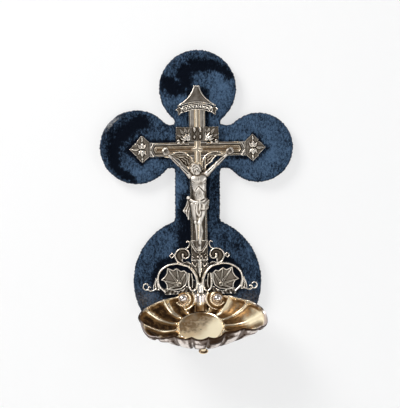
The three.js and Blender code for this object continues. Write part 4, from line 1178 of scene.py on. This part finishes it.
figure.limb((0.2, -19.6, 13.0), on_head(0, -1.6, -0.6), 1.75, 1.5, 1.0)
head_egg((0, 0.7, -0.3), (2.55, 2.95, 2.6), 0.4)
head_limb((0, -0.3, 0.6), (0, -1.7, 0.9), 1.95, 1.25, 0.5)
for flip in (-1, 1):
    head_limb((flip * 0.3, 0.55, 2.25), (flip * 1.5, 0.5, 1.75), 0.34, 0.28)
    head_egg((flip * 0.88, 0.02, 2.12), (0.5, 0.3, 0.32), 0.12)
    head_limb((flip * 0.45, -0.12, 2.5), (flip * 1.25, -0.1, 2.25), 0.07, 0.07, 0.08, True)
    head_egg((flip * 1.15, -0.85, 1.55), (0.62, 0.55, 0.6), 0.4)
    head_limb((flip * 0.1, -1.22, 2.5), (flip * 0.95, -1.6, 2.0), 0.24, 0.2)
    head_limb((flip * 0.35, -2.5, 1.9), (flip * 0.4, -3.7, 1.75), 0.62, 0.28, 0.25)
head_limb((0, 0.4, 2.35), (0, -0.75, 2.95), 0.24, 0.38, 0.2)
head_limb((-0.4, -1.5, 2.6), (0.4, -1.5, 2.6), 0.16, 0.16, 0.1)
head_limb((-0.35, -1.72, 2.5), (0.35, -1.72, 2.5), 0.17, 0.17, 0.1)
head_egg((0, -2.3, 1.6), (1.5, 1.2, 0.95), 0.35)
for groove in (-0.9, -0.45, 0.0, 0.45, 0.9):
    head_limb((groove, -1.95, 2.65), (groove * 0.8, -3.4, 2.35), 0.1, 0.1, 0.12, True)
for flip in (-1, 1):
    for strand in range(5):
        out = 1.7 - 0.75 * strand
        wide = 2.0 + 0.28 * strand
        lock = [
            on_head(flip * right, up, out * near + shift)
            for right, up, near, shift in (
                (0.25, 3.2 - 0.1 * strand, 0.8, 0),
                (wide - 0.25, 1.7, 1, 0),
                (wide + 0.15, -0.2, 0.9, 0),
                (wide - 0.05 + 0.25 * (strand % 2), -1.9, 0.8, -0.1),
                (wide + 0.35, -3.4, 0.4, -0.4),
                (wide + 0.3, -4.8, 0.3, -1.0),
            )
        ]
        figure.rope(lock, np.array((0.42, 0.55, 0.55, 0.5, 0.45, 0.25)) * head_size, 0.16)
wreath = []
for turn in range(33):
    angle = turn / 32 * 2 * math.pi
    twist = turn * 1.45
    reach = 2.95 + 0.3 * math.cos(twist)
    up, out = 1.75 + 0.3 * math.sin(twist), 2.75 / 2.95 * reach * math.cos(angle) - 0.3
    wreath.append(on_head(reach * math.sin(angle), up, out))
figure.rope(wreath, 0.3, 0.12)

# Legs, bent at the knee, one foot over the other: hip, knee, calf, ankle and toes.
right_leg = [(-3.9, -40.0, 12.6), (-2.1, -52.6, 13.2), (-2.2, -59.0, 11.9)]
right_leg += [(-1.5, -65.2, 11.8), (-0.9, -70.4, 12.0)]
left_leg = [(4.1, -41.5, 12.8), (0.4, -53.0, 14.8), (1.5, -58.8, 13.6)]
left_leg += [(0.4, -66.4, 13.3), (0.1, -71.8, 13.6)]
for places, size in ((right_leg, 0.8), (left_leg, 0.88)):
    hip, knee, calf, ankle, toes = np.array(places)
    figure.limb(hip, knee, 2.75 * size, 1.65 * size, 0.6)
    figure.egg(knee + (0, 0, 0.3), (1.4, 1.55, 1.4), 0, 0.5)
    figure.limb(knee, calf, 1.45 * size, 1.5 * size, 0.5)
    figure.limb(calf, ankle, 1.45 * size, 0.8, 0.4)
    figure.limb(knee + (0, -1.8, 0.9), ankle + (0, 0.6, 0.6), 0.65, 0.36, 0.4)
    figure.limb(ankle, toes, 0.95, 0.95, 0.4)
    figure.egg(ankle + (0, -0.5, -0.3), (1.05, 1.3, 1.0), 0, 0.4)
    for toe in range(4):
        figure.egg(toes + (-0.85 + 0.55 * toe, -0.55 + 0.1 * toe, 0.15), (0.33, 0.6, 0.4), 0, 0.1)

# Cloth: a cord over one hip, folds over the other, loops in front, a knot and its loose end.
for row in range(2):
    cord = [(-6.2, -36.2 - 0.9 * row, 13.4), (-3.8, -37.8 - 0.8 * row, 15.3)]
    figure.rope([*cord, (-1.0, -38.8 - 0.6 * row, 16.4)], 0.6, 0.22)
figure.egg((2.2, -42.0, 13.4), (4.3, 3.6, 2.4), 0, 0.6)
for row in range(5):
    fold = [(0.9, -39.4 - 0.95 * row, 16.5 - 0.2 * row)]
    fold += [(3.6, -40.3 - 0.75 * row, 16.2 - 0.2 * row)]
    fold += [(6.9 - 0.15 * row, -37.5 - 1.25 * row, 13.4)]
    figure.rope(fold, (0.55, 0.72, 0.6), 0.2)
long_loop = [(-0.6, -38.2, 16.9), (-1.3, -41.2, 16.9), (-1.5, -44.6, 16.3)]
long_loop += [(-0.8, -47.0, 15.8), (0.5, -48.2, 15.4)]
for radius, path in (
    (0.55, [(-0.8, -38.4, 16.4), (-2.3, -40.0, 16.4), (-3.0, -42.4, 15.9), (-2.7, -44.0, 15.5)]),
    (0.62, long_loop),
    (0.75, [(0.8, -37.6, 16.8), (0.9, -40.6, 17.2), (0.6, -43.4, 16.8)]),
    (0.42, [(0.6, -43.6, 16.2), (1.2, -46.0, 15.9), (0.8, -47.8, 15.6)]),
):
    figure.rope(path, radius, 0.2)
figure.egg((-6.9, -35.5, 13.2), (1.5, 1.35, 1.3), 0, 0.3)
for loose_end in (
    ((-7.0, -36.8, 12.9), (-8.0, -40.6, 12.6), (-10.0, -44.6, 12.2), (-8.9, -46.4, 12.2)),
    ((-6.5, -36.9, 12.9), (-7.0, -40.8, 12.8), (-8.6, -44.4, 12.6), (-7.9, -48.2, 12.2)),
    ((-6.0, -36.9, 12.7), (-6.2, -41.0, 12.6), (-7.2, -44.8, 12.4), (-7.2, -50.4, 11.8)),
):
    figure.rope(loose_end, (0.55, 0.7, 0.95, 0.5), 0.2)

figure_silver = old_metal(
    "figure_silver", (0.97, 0.90, 0.81, 1), (0.19, 0.150, 0.113, 1), (0.028, 0.018, 0.011, 1),
    low_rough=0.33, film_start=-0.24, film_end=0.16,
)
figure_points, figure_faces = figure.skin(figure_back)
corpus = cast("corpus_cast", figure_points, figure_faces, rounds=24, full=0.31, angle=180)
# Painted shade: the figure is darkened where it lies low towards the wall, on its arms, sides and
# one leg.
mark(corpus, "dull", 0.34 - 0.34 * rise(figure_points[:, 2], 12.4, 15.6))
settle(corpus, figure_silver, "corpus")

# Nails
# Three small round-headed nails of blackened silver. One goes through each hand into the beam and
# one through the feet into the upright. They keep their shape from the frame.

nail_silver = old_metal(
    "nail_silver", (0.30, 0.26, 0.21, 1), (0.05, 0.04, 0.03, 1), (0.02, 0.015, 0.01, 1)
)
dress(nail_silver, "hand_nail_left", "hand_nail_right", "foot_nail")

# Calyx
# Cast leaves clasp the foot of the upright: a pair of narrow leaves in a V, a few small beads
# between their ends, and a rib down each side that turns in at its foot.

calyx_ribs = (
    (0.5, 1.0, [(7.0, -64.8), (5.0, -69.2), (2.3, -73.6)]),
    (0.42, 0.9, [(5.4, -70.2), (5.5, -73.6), (5.2, -76.6), (4.0, -77.2)]),
    (0.35, 0.7, [(2.3, -73.6), (0.0, -74.1)]),
    (0.35, 0.6, [(5.6, -64.8), (3.7, -69.4), (1.5, -72.4)]),
)
calyx_beads = ((-1.2, -76.6, 0.95), (1.4, -76.3, 0.8), (0.2, -75.2, 0.6), (3.6, -75.2, 0.5))


def calyx_outline(x, y):
    half = 6.0 + 0.5 * bell(y, -66.5, 1.6) - 0.5 * bell(y, -75.5, 1.4)
    return np.maximum(np.abs(x) - half, np.abs(y + 72.2) - 7.4)


def calyx_height(x, y, depth):
    front = 9.55
    for half, height, path in calyx_ribs:
        front = front + ridge(away_from(np.abs(x), y, path), 0, half, height)
    curl = np.hypot(x - 1.0, y + 77.6) - 1.0
    tops = [front, 9.6 + ridge(curl, 0, 0.3, 0.6)]
    tops += [9.7 + ridge(disc(x, y, *bead), -bead[2], bead[2]) for bead in calyx_beads]
    return np.minimum(highest(*tops), 8.6 + 3.0 * depth)


relief(
    "calyx_cast", "foot_calyx", silver, "silver", calyx_outline, calyx_height,
    (-8, -80.6), (8, -64), back=9.0, step=0.2, full=0.26, worn=(9.6, 10.3),
)

# Stem
# Below the calyx the stem spreads in a second pair of leaves, narrows in three ribs that run
# together, and ends as a plain round shaft on the basin's rim.

stem_places = (-103.0, -99.2, -95.0, -91.2, -87.4, -84.4, -82.0, -79.6, -74.0)
stem_halves = (3.0, 2.7, 2.25, 2.3, 3.7, 6.1, 5.6, 6.3, 5.6)


def stem_half(y):
    return np.interp(y, stem_places, stem_halves)


def stem_outline(x, y):
    return np.maximum((np.abs(x) - stem_half(y)) * 0.85, np.abs(y + 88.3) - 14.3)


def stem_height(x, y, depth):
    across = np.abs(x)
    shaft = ridge(x, 0, stem_half(y) + 0.05, 1.7)
    rib, share = lines_between(across, y, [(5.5, -84.8), (3.3, -88.0), (1.7, -91.6), (1.35, -95.5)])
    middle = np.maximum(1.65 - 1.6 * rise(-y, 84.0, 93.5), 0.05)
    back = ridge(across, 0, middle, 1.7) - 0.35 * bell(x, 0, 0.2) * (y > -88)
    leaf = away_from(across, y, [(6.2, -79.3), (4.4, -82.4), (2.9, -83.7)])
    barb = away_from(across, y, [(2.9, -83.7), (2.2, -81.2)])
    crown = np.maximum(ridge(leaf, 0, 0.5, 1.3), ridge(barb, 0, 0.4, 1.2))
    low = rise(-y, 93.0, 97.0)
    front = highest(ridge(rib, 0, 0.75 - 0.15 * share, 1.7), back, crown)
    return np.minimum(7.75 + front * (1 - low) + shaft * low, 7.5 + 3.0 * depth)


relief(
    "stem_cast", "scroll_stem", silver, "silver", stem_outline, stem_height,
    (-8, -104), (8, -73), step=0.2, full=0.3, worn=(7.4, 8.5),
)

# Upper volutes
# From each side of the stem a thin scroll rises, turns in and ends in a bead. Its band is dished
# between the bright outer line and the coil. A hooked tendril and a square bud grow from it.

volute_path = curve(
    [
        (12.0, -81.6), (15.4, -79.8), (17.2, -75.9), (15.9, -72.7), (13.35, -71.1), (10.4, -71.0),
        (8.05, -72.6), (7.2, -75.0), (8.2, -77.2), (10.2, -77.7), (11.9, -76.6), (11.9, -75.2),
    ]
)
tendril_path = curve(
    [(10.4, -71.0), (8.4, -70.4), (7.1, -68.6), (7.1, -66.6), (8.1, -65.6), (9.0, -66.3)]
)
volute_bead = (11.7, -75.2, 1.15)
bud_place = (19.3, -75.7)


def volute_parts(x, y):
    u, v = x - bud_place[0], y - bud_place[1]
    bud = (np.abs(u + 0.15 * v) + np.abs(v)) * 0.71
    line, tendril = away_from(x, y, volute_path), away_from(x, y, tendril_path)
    return line, tendril, disc(x, y, *volute_bead), bud


def volute_outline(x, y):
    line, tendril, bead, bud = volute_parts(x, y)
    return lowest(line - 0.68, polygon(x, y, volute_path), tendril - 0.55, bead, bud - 1.5)


def volute_height(x, y, depth):
    line, tendril, bead, bud = volute_parts(x, y)
    lines = np.maximum(ridge(line, 0, 0.7, 1.5), ridge(tendril, 0, 0.6, 1.3))
    bead = ridge(bead, -volute_bead[2], volute_bead[2], 1.7)
    return highest(7.5 + lines, 7.7 + bead, 7.7 + ridge(bud, 1.2, 0.4, 0.9))


relief_pair(
    "upper_volute", silver, "silver", volute_outline, volute_height, (5, -84), (23, -64),
    step=0.2, rounds=16, worn=(7.7, 8.7),
)

# Ring scrolls
# A larger scroll on each side rings the vine leaf, joins the volute's foot above and comes back
# down beside the stem, where it turns up in a narrow loop with a second line inside it.

ring_path = curve(
    [
        (24.4, -101.0), (28.3, -97.0), (29.5, -91.6), (28.0, -86.8), (22.9, -82.7), (16.8, -81.4),
        (12.0, -82.2), (8.0, -83.6), (4.9, -86.8), (2.9, -90.6), (2.2, -94.5), (2.7, -98.6),
        (4.7, -100.6), (7.2, -98.9), (8.0, -94.8), (7.6, -88.6),
    ]
)
ring_loop_start = 72
loop_path = curve([(5.9, -88.6), (5.4, -92.0), (5.3, -95.4), (5.6, -98.2)])
ring_web = [(3.0, -83.4), (8.6, -80.2), (13.4, -81.0), (8.2, -84.4), (5.0, -87.6), (3.8, -86.2)]
ring_base = curve(
    [
        (3.4, -102.9), (3.6, -100.6), (6.2, -98.6), (9.0, -97.4), (12.0, -99.4), (16.0, -100.6),
        (19.6, -99.2), (22.4, -98.4), (24.8, -99.4), (25.4, -101.6), (24.4, -102.9),
    ],
    4,
)


def ring_outline(x, y):
    lines = [away_from(x, y, ring_path) - 0.86, away_from(x, y, loop_path) - 0.4]
    plates = [polygon(x, y, part) for part in (ring_web, ring_path[ring_loop_start:], ring_base)]
    return lowest(*lines, *plates)


def ring_height(x, y, depth):
    line, share = lines_between(x, y, ring_path)
    band = ridge(line, 0, 0.88, 1.35 + 0.35 * rise(share, 0.5, 0.7))
    plate = 0.25 * (polygon(x, y, ring_base) < 0) * (1 + np.sin(x * 1.7) * np.sin(x * 0.6 + y))
    return 7.4 + highest(band, ridge(away_from(x, y, loop_path), 0, 0.42, 0.95), plate)


relief_pair(
    "ring_scroll", silver, "silver", ring_outline, ring_height, (0, -104), (32, -79),
    step=0.2, rounds=14, worn=(7.7, 8.6),
)

# Vine leaves
# A five-lobed vine leaf of darker silver fills each ring. Its veins run out in pairs from a round
# knob, and its lobes are hollowed between bright edges.

vine_knob = (14.6, -96.0)
vine_corners = [
    (13.4, -99.2), (10.0, -96.6), (8.8, -92.4), (8.9, -88.0), (11.0, -86.2), (13.2, -86.8),
    (16.2, -84.4), (18.6, -86.0), (22.8, -84.2), (23.2, -88.0), (24.7, -90.4), (27.3, -92.5),
    (24.6, -93.8), (23.4, -96.0), (23.2, -99.4), (18.4, -100.0),
]
vine_tips = ((9.6, -87.2), (16.1, -84.8), (22.6, -84.6), (27.0, -92.5), (23.0, -99.2))


def vine_outline(x, y):
    return polygon(x, y, vine_corners)


def vine_height(x, y, depth):
    front = 7.75 + ridge(depth, 0.25, 0.42, 0.55)
    for tip in vine_tips:
        away, share = lines_between(x, y, [vine_knob, tip])
        front += 0.8 * bell(away, 0.55 * (1 - share) + 0.06, 0.22) * (1 - 0.45 * share)
        front += 0.05 * np.sin((away * 0.8 + share * 9) * 5) * (away < 2.2)
    return np.maximum(front, 7.9 + ridge(disc(x, y, *vine_knob, 0), 0, 1.7, 1.3))


leaf_silver = old_metal(
    "leaf_silver", (0.93, 0.86, 0.76, 1), (0.25, 0.215, 0.175, 1), (0.045, 0.034, 0.024, 1),
    low_rough=0.3,
)
relief_pair(
    "vine_leaf", leaf_silver, "dark_silver", vine_outline, vine_height, (7, -102), (29, -82),
    step=0.2, rounds=14, worn=(7.95, 8.7),
)

# Tail scrolls
# Outside each ring a small folded leaf of cast silver runs out into two open curls. All of it is
# soldered to the ring beside it.

tail_leaf = [
    (30.7, -90.6), (31.8, -93.4), (32.9, -97.4), (32.6, -99.4), (28.4, -99.6), (29.6, -95.6),
]
tail_fold = [(30.7, -91.0), (31.4, -95.0), (30.8, -99.2)]
inner_curl = [
    (30.6, -98.6), (33.2, -99.8), (35.4, -99.9), (36.4, -98.4), (35.6, -97.1), (34.5, -97.6),
]
outer_curl = [
    (36.2, -98.7), (38.0, -99.3), (39.7, -98.0), (39.4, -95.8), (37.8, -94.9), (36.3, -95.8),
]
tail_paths = (curve(inner_curl), curve(outer_curl))


def tail_outline(x, y):
    return lowest(polygon(x, y, tail_leaf), *(away_from(x, y, path) - 0.5 for path in tail_paths))


def tail_height(x, y, depth):
    tops = [7.6 + ridge(away_from(x, y, path), 0, 0.55, 1.1) for path in tail_paths]
    fold = ridge(away_from(x, y, tail_fold), 0, 0.5, 0.9)
    return highest(7.7 + fold, 7.7 + ridge(depth, 0.2, 0.4, 0.5), *tops)


relief_pair(
    "tail_scroll", silver, "silver", tail_outline, tail_height, (27, -102), (41, -89),
    step=0.2, worn=(7.8, 8.6),
)

# Basin
# One shell of beaten silver with sixteen flutes, gilt inside, set on a bracket. The gilding has
# worn to silver along the lip and the front, the flutes have gone brown, and water has left a pale
# haze in the well. Light and shade are painted on too: a painted reflection on the well's front
# right and on the flutes to the right, painted light on one wall of each flute, and painted shade
# along the well's back edge and under the bent lip. The lip is bent up right of its front, and
# down at its two front corners.

shell_columns = 480
shell_pitch = math.radians(26)
shell_place_on_silver = (-102.6, 9.5)
shell_thick = 1.3
flutes = 16
flute_turn = math.radians(4)
well_radius = 15.2
well_forward = 24
well_slope = 0.14
well_floor, well_under = -13.8, -14.3
rim_right, rim_forward = 1.4, 29
rim_half_width, rim_half_length, rim_roundness = 43.6, 28.65, 1.9


def wave_at(angle):
    """1 down the middle of each flute, 0 on the ridges between them."""
    return np.abs(np.cos(flutes / 2 * (angle - flute_turn)))


def near_turn(angle, degrees, spread):
    """1 at one place round the shell, falling to 0 on both sides of it."""
    return bell((np.degrees(angle) - degrees + 180) % 360 - 180, 0, spread)


def flute_at(angle, share):
    """How far a flute is sunk, from 0 to 1; both its ends are round."""
    wave = wave_at(angle)
    started = rise(share, 0.01 + 0.06 * (1 - wave), 0.06 + 0.09 * (1 - wave))
    ended = 1 - rise(share, 0.94 - 0.05 * (1 - wave), 0.985 - 0.03 * (1 - wave))
    return rise(wave, 0.06, 0.42) * started * ended


def well_place(angle, part):
    """A point of the well, from its middle (0) to its edge (1), before its own depth."""
    right, ahead = well_radius * part * np.cos(angle), well_radius * part * np.sin(angle)
    return right, well_forward + ahead, -well_slope * ahead


def shell_place(angle, share):
    """A point of the shell's inner face, from the well's edge (0) out to the rim (1)."""
    c, s = np.cos(angle), np.sin(angle)
    wave = wave_at(angle)
    across, ahead = np.abs(c) / rim_half_width, np.abs(s) / rim_half_length
    oval = (across**rim_roundness + ahead**rim_roundness) ** (-1 / rim_roundness)
    reach = oval - (1 - wave)
    well_u, well_v, well_w = well_place(angle, 1)
    u = well_u + (rim_right + reach * c - well_u) * share
    v = well_v + (rim_forward + reach * s - well_v) * share
    bent_up = 3.8 * near_turn(angle, 50, 18) * share**3
    bent_down = 5.6 * near_turn(angle, 154, 15) + 3.8 * near_turn(angle, 9, 14)
    lip = (0.9 - 1.1 * wave) * rise(share, 0.8, 1.0)
    ridge_top = 0.75 * np.sqrt(share) * (1 - rise(share, 0.8, 1.0))
    w = (well_w - 12) * (1 - share**2.6) + ridge_top + lip
    w = w - 1.7 * flute_at(angle, share) * share**0.3 + bent_up
    return u, v, w - bent_down * rise(share, 0.76, 1.03)


def shell_frame(u, v, w):
    """Takes the rim's own right, out and up to the silver's x, y and z."""
    tilt_c, tilt_s = math.cos(shell_pitch), math.sin(shell_pitch)
    up, out = shell_place_on_silver
    return np.stack([u, up - v * tilt_s + w * tilt_c, out + v * tilt_c + w * tilt_s], -1)


def well_row(part, angle, bottom, dish):
    right, ahead, slope = well_place(angle, part)
    return right, ahead, bottom + dish * part**2 + slope


angle = flute_turn + np.arange(shell_columns) * 2 * math.pi / shell_columns
front_side = np.sin(angle) * 0.5 + 0.5
well_parts = [0.04, 0.12, 0.22, 0.32, 0.44, 0.56, 0.68, 0.78, 0.86, 0.92, 0.96]
shares = [np.linspace(0, 0.1, 12)[:-1], np.linspace(0.1, 0.72, 18)[:-1], np.linspace(0.72, 1, 26)]
shares = np.concatenate(shares)
rows = [well_row(part, angle, well_floor, 1.8) for part in well_parts]
for share in shares:
    u, v, w = shell_place(angle, share)
    collar = 0.5 * bell(share, 0.012, 0.016) * (1 - 0.9 * near_turn(angle, 270, 38))
    rolled = (0.25 + 0.6 * front_side) * bell(share, 0.968, 0.028)
    rows.append((u, v, w + collar + rolled))
for share in [1.008, *shares[::-1]]:
    u, v, w = shell_place(angle, share)
    rows.append((u, v, w - shell_thick + 0.5 * (share > 1)))
rows += [well_row(part, angle, well_under, 0.8) for part in reversed(well_parts)]
shell_points = [shell_frame(*row) for row in rows]
shell_points += [shell_frame(0, well_forward, floor)[None] for floor in (well_floor, well_under)]
shell_faces = []
around = np.arange(shell_columns)
onward = (around + 1) % shell_columns
for row in range(len(rows) - 1):
    near, far = row * shell_columns, (row + 1) * shell_columns
    shell_faces += np.stack([near + around, far + around, far + onward, near + onward], 1).tolist()
last, top_centre = (len(rows) - 1) * shell_columns, len(rows) * shell_columns
for one, two in zip(around.tolist(), onward.tolist()):
    shell_faces += [[top_centre, one, two], [top_centre + 1, last + two, last + one]]
shell_points = np.concatenate(shell_points)
shell = cast("shell_basin_beaten", shell_points, shell_faces, rounds=14, full=0.25, angle=75)

wave = wave_at(angle)
on_ridge = 1 - rise(wave, 0.12, 0.3)
corner_lips = np.maximum(near_turn(angle, 154, 22), near_turn(angle, 12, 20))
flute_part = ((angle - flute_turn) * flutes / 2 / math.pi + 0.5) % 1
# Painted light and shade in the flutes: one wall of each is painted lit and the other darker, and
# the flutes on the right lighter.
leftward = (np.sin(angle) + 0.4 * np.cos(angle)) / 1.08
left_wall = rise((flute_part - 0.5) * 2 * leftward, 0.08, 0.62)
to_right = rise(np.cos(angle), 0.1, 0.8)
far_right = to_right * (0.7 * left_wall + 0.2) + 0.7 * near_turn(angle, 352, 9)
tarnish_and_shading, bare, haze_and_sheen = [], [], []
for part, (u, v, _) in zip(well_parts, rows):
    ahead = v - well_forward
    # Painted highlight: the well is painted paler towards its front right; painted shadow darkens
    # its back left edge.
    well_highlight = rise(0.6 * u + 0.75 * ahead, -9.0, 9.0)
    shade = rise(part, 0.8, 0.95) * rise(-ahead - 0.4 * u, 2, 9)
    tarnish_and_shading.append(0.62 - 0.85 * well_highlight + 0.5 * shade)
    bare.append(0.1 * well_highlight)
    # A little water haze all over the well, with a painted reflection towards its front right.
    well_sheen = rise(0.8 * u + 0.6 * ahead, -2.0, 9.5) * (1 - rise(part, 0.9, 1.0))
    haze_and_sheen.append(0.28 + 0.72 * well_sheen)
for share in shares:
    line = on_ridge * (share > 0.05) + bell(share, 0.012, 0.02)
    lip_film = rise(share, 0.945, 0.975) * rise(front_side, 0.35, 0.7) * (1 - 0.8 * corner_lips)
    back_of_well = near_turn(angle, 270, 40) * (1 - rise(share, 0.06, 0.14))
    # The flute floors are brown with tarnish and painted darker away from their lit wall.
    dark = flute_at(angle, share) * (1.4 - 1.35 * left_wall - 0.35 * to_right)
    dark = dark * (1 - 0.8 * corner_lips * rise(share, 0.84, 0.92))
    dark = dark + 0.55 * lip_film + 0.5 * back_of_well
    tarnish_and_shading.append(dark - 0.5 * line * (1 - back_of_well))
    bare_lip = rise(share, 0.93, 0.98) * (0.4 + 0.6 * front_side)
    bare.append(bare_lip + 0.8 * corner_lips * rise(share, 0.88, 0.93))
    on_lip = 0.75 * corner_lips * rise(share, 0.9, 0.94)
    # Painted reflection on the flutes to the right; the front corners of the lip are paler.
    haze_and_sheen.append(far_right * rise(share, 0.35, 0.7) * (1 - rise(share, 0.92, 0.96)) + on_lip)
under_shares = [1.0, *shares[::-1], *(0 * part for part in well_parts)]
for share in under_shares:
    # Painted shade on the outside, under the lip where it is bent up.
    shade_under_lip = 2.2 * rise(share, 0.84, 0.9) * near_turn(angle, 70, 17)
    tarnish_and_shading.append(np.maximum(0.22 + 0.7 * (1 - rise(wave, 0.25, 0.8)), shade_under_lip))
    bare.append(0.35 + 0.65 * front_side)
    haze_and_sheen.append(0 * angle)
mark(shell, "tarnish_and_shading", np.concatenate(tarnish_and_shading + [[0, 0]]))
mark(shell, "bare", np.concatenate(bare + [[0, 1]]))
mark(shell, "haze_and_sheen", np.concatenate(haze_and_sheen + [[0, 0]]))

basin_metal = Finish("worn_gilt")
depth = read_mark(basin_metal, "hollow")
# Tarnish, with painted light and shade, from the shell's marks.
tarnish_shading = read_mark(basin_metal, "tarnish_and_shading")
worn = read_mark(basin_metal, "bare")
haze_sheen_mark = read_mark(basin_metal, "haze_and_sheen")
cloud = noise(basin_metal, 9.0, detail=2)
stain = noise(basin_metal, 3.0, (1, 1, 1), 3, 0.5)
grit = noise(basin_metal, 0.5, detail=3)
bared = between(basin_metal, worn + (cloud - 0.5) * 0.8, 0.35, 0.8)
tone = blend(basin_metal, bared, (0.96, 0.81, 0.58, 1), (0.83, 0.74, 0.68, 1))
film = blend(basin_metal, bared, (0.26, 0.145, 0.058, 1), (0.20, 0.155, 0.13, 1))
filmed = tarnish_shading * 1.1 + depth * 0.35 + (stain - 0.5) * 1.3 + (cloud - 0.5) * 1.1
filmed = between(basin_metal, filmed, 0.16, 0.62)
crusted = tarnish_shading * 0.62 + depth * 0.4 + (grit - 0.5) * 0.9 + (stain - 0.5) * 1.1
crusted = between(basin_metal, crusted, 0.34, 0.86)
tone = blend(basin_metal, filmed, tone, film)
tone = blend(basin_metal, crusted, tone, (0.042, 0.021, 0.010, 1))
# A pale, less metallic overlay: water haze, and painted reflection where that mark is high.
haze_sheen_share = between(basin_metal, haze_sheen_mark + (cloud - 0.5) * 0.7 + (stain - 0.5) * 0.4, 0.15, 0.9)
haze_sheen_tone = blend(basin_metal, bared, (1.0, 0.90, 0.66, 1), (0.60, 0.51, 0.48, 1))
basin_metal.feed("Base Color", blend(basin_metal, haze_sheen_share, tone, haze_sheen_tone))
basin_metal.feed("Metallic", 1 - haze_sheen_share * 0.8)
basin_metal.feed("Roughness", filmed * 0.16 + crusted * 0.2 + haze_sheen_mark * 0.35 + 0.2)
bump(basin_metal, grit * crusted * 1.2 + cloud * 0.8, 0.3, 0.0003)
settle(shell, basin_metal, "shell_basin")

# Neck, ball scrolls and bracket
# A short fluted neck rises from the shell's back, between two balls that are cupped in curled
# scrolls. A flat bracket behind takes the basin's bolt, and a knob closes it underneath.


def neck_outline(x, y):
    half = 4.3 + 0.5 * ((y + 108.5) / 6.2) ** 2
    return np.maximum((np.abs(x) - half) * 0.95, np.abs(y + 108.7) - 6.3)


def neck_height(x, y, depth):
    edge = 12.2 + ridge(np.abs(x) - 0.06 * (y + 108), 3.9, 0.55, 1.3)
    return np.minimum(np.maximum(13.0 + ridge(x, 0, 3.0, 1.5), edge), 12.2 + 2.5 * depth)


neck = relief(
    "neck_cast", "basin_neck", basin_metal, "gilt", neck_outline, neck_height,
    (-7, -116), (7, -101.5), back=10.7, step=0.22, full=0.26,
)
up_neck = places_of(neck)[:, 2]
mark(neck, "tarnish_and_shading", 0.75 * (1 - rise(up_neck, -112.5, -107.0)))
mark(neck, "bare", rise(up_neck, -110.5, -106.0))

ball_place = np.array((12.0, -105.8, 12.9))
for hand, side in (("left", -1), ("right", 1)):
    ball = Clay(np.array((2.6, -118.0, 9.3)), np.array((19.5, -98.0, 17.4)), 0.24)
    ball.egg(ball_place + (-1.6, -1.6, -2.2), (6.6, 6.4, 1.7), 0, 0.3)
    for reach, start, end, radius in ((4.9, 118, 325, 0.8), (7.9, 146, 262, 0.62)):
        turn = np.radians(np.linspace(start, end, 17))
        cup = [np.cos(turn) * reach, np.sin(turn) * reach * 0.95, np.full(17, -0.2)]
        ball.rope(ball_place + np.stack(cup, 1), radius, 0.3)
    ball.egg(ball_place, (3.6, 3.6, 3.5), 0, 0.12)
    points, faces = ball.skin(10.0)
    on_ball = 1 - rise(np.linalg.norm(points - ball_place, axis=1), 3.65, 3.95)
    points[:, 0] *= side
    faces = faces if side > 0 else faces[:, ::-1]
    made = cast(f"ball_scroll_{hand}", points, faces, rounds=14, full=0.3, angle=180)
    # Painted light on the front of each ball and cup; towards the back they are tarnished and
    # painted darker.
    in_front = rise(points[:, 2], 11.6, 13.2)
    mark(made, "tarnish_and_shading", np.where(on_ball > 0.5, 0.3 - 1.6 * in_front, 0.75 - 1.1 * in_front))
    mark(made, "bare", on_ball)
    settle(made, basin_metal, f"basin_volute_{hand}")

dress(basin_metal, "basin_knob")
dress(leaf_silver, "basin_bracket")
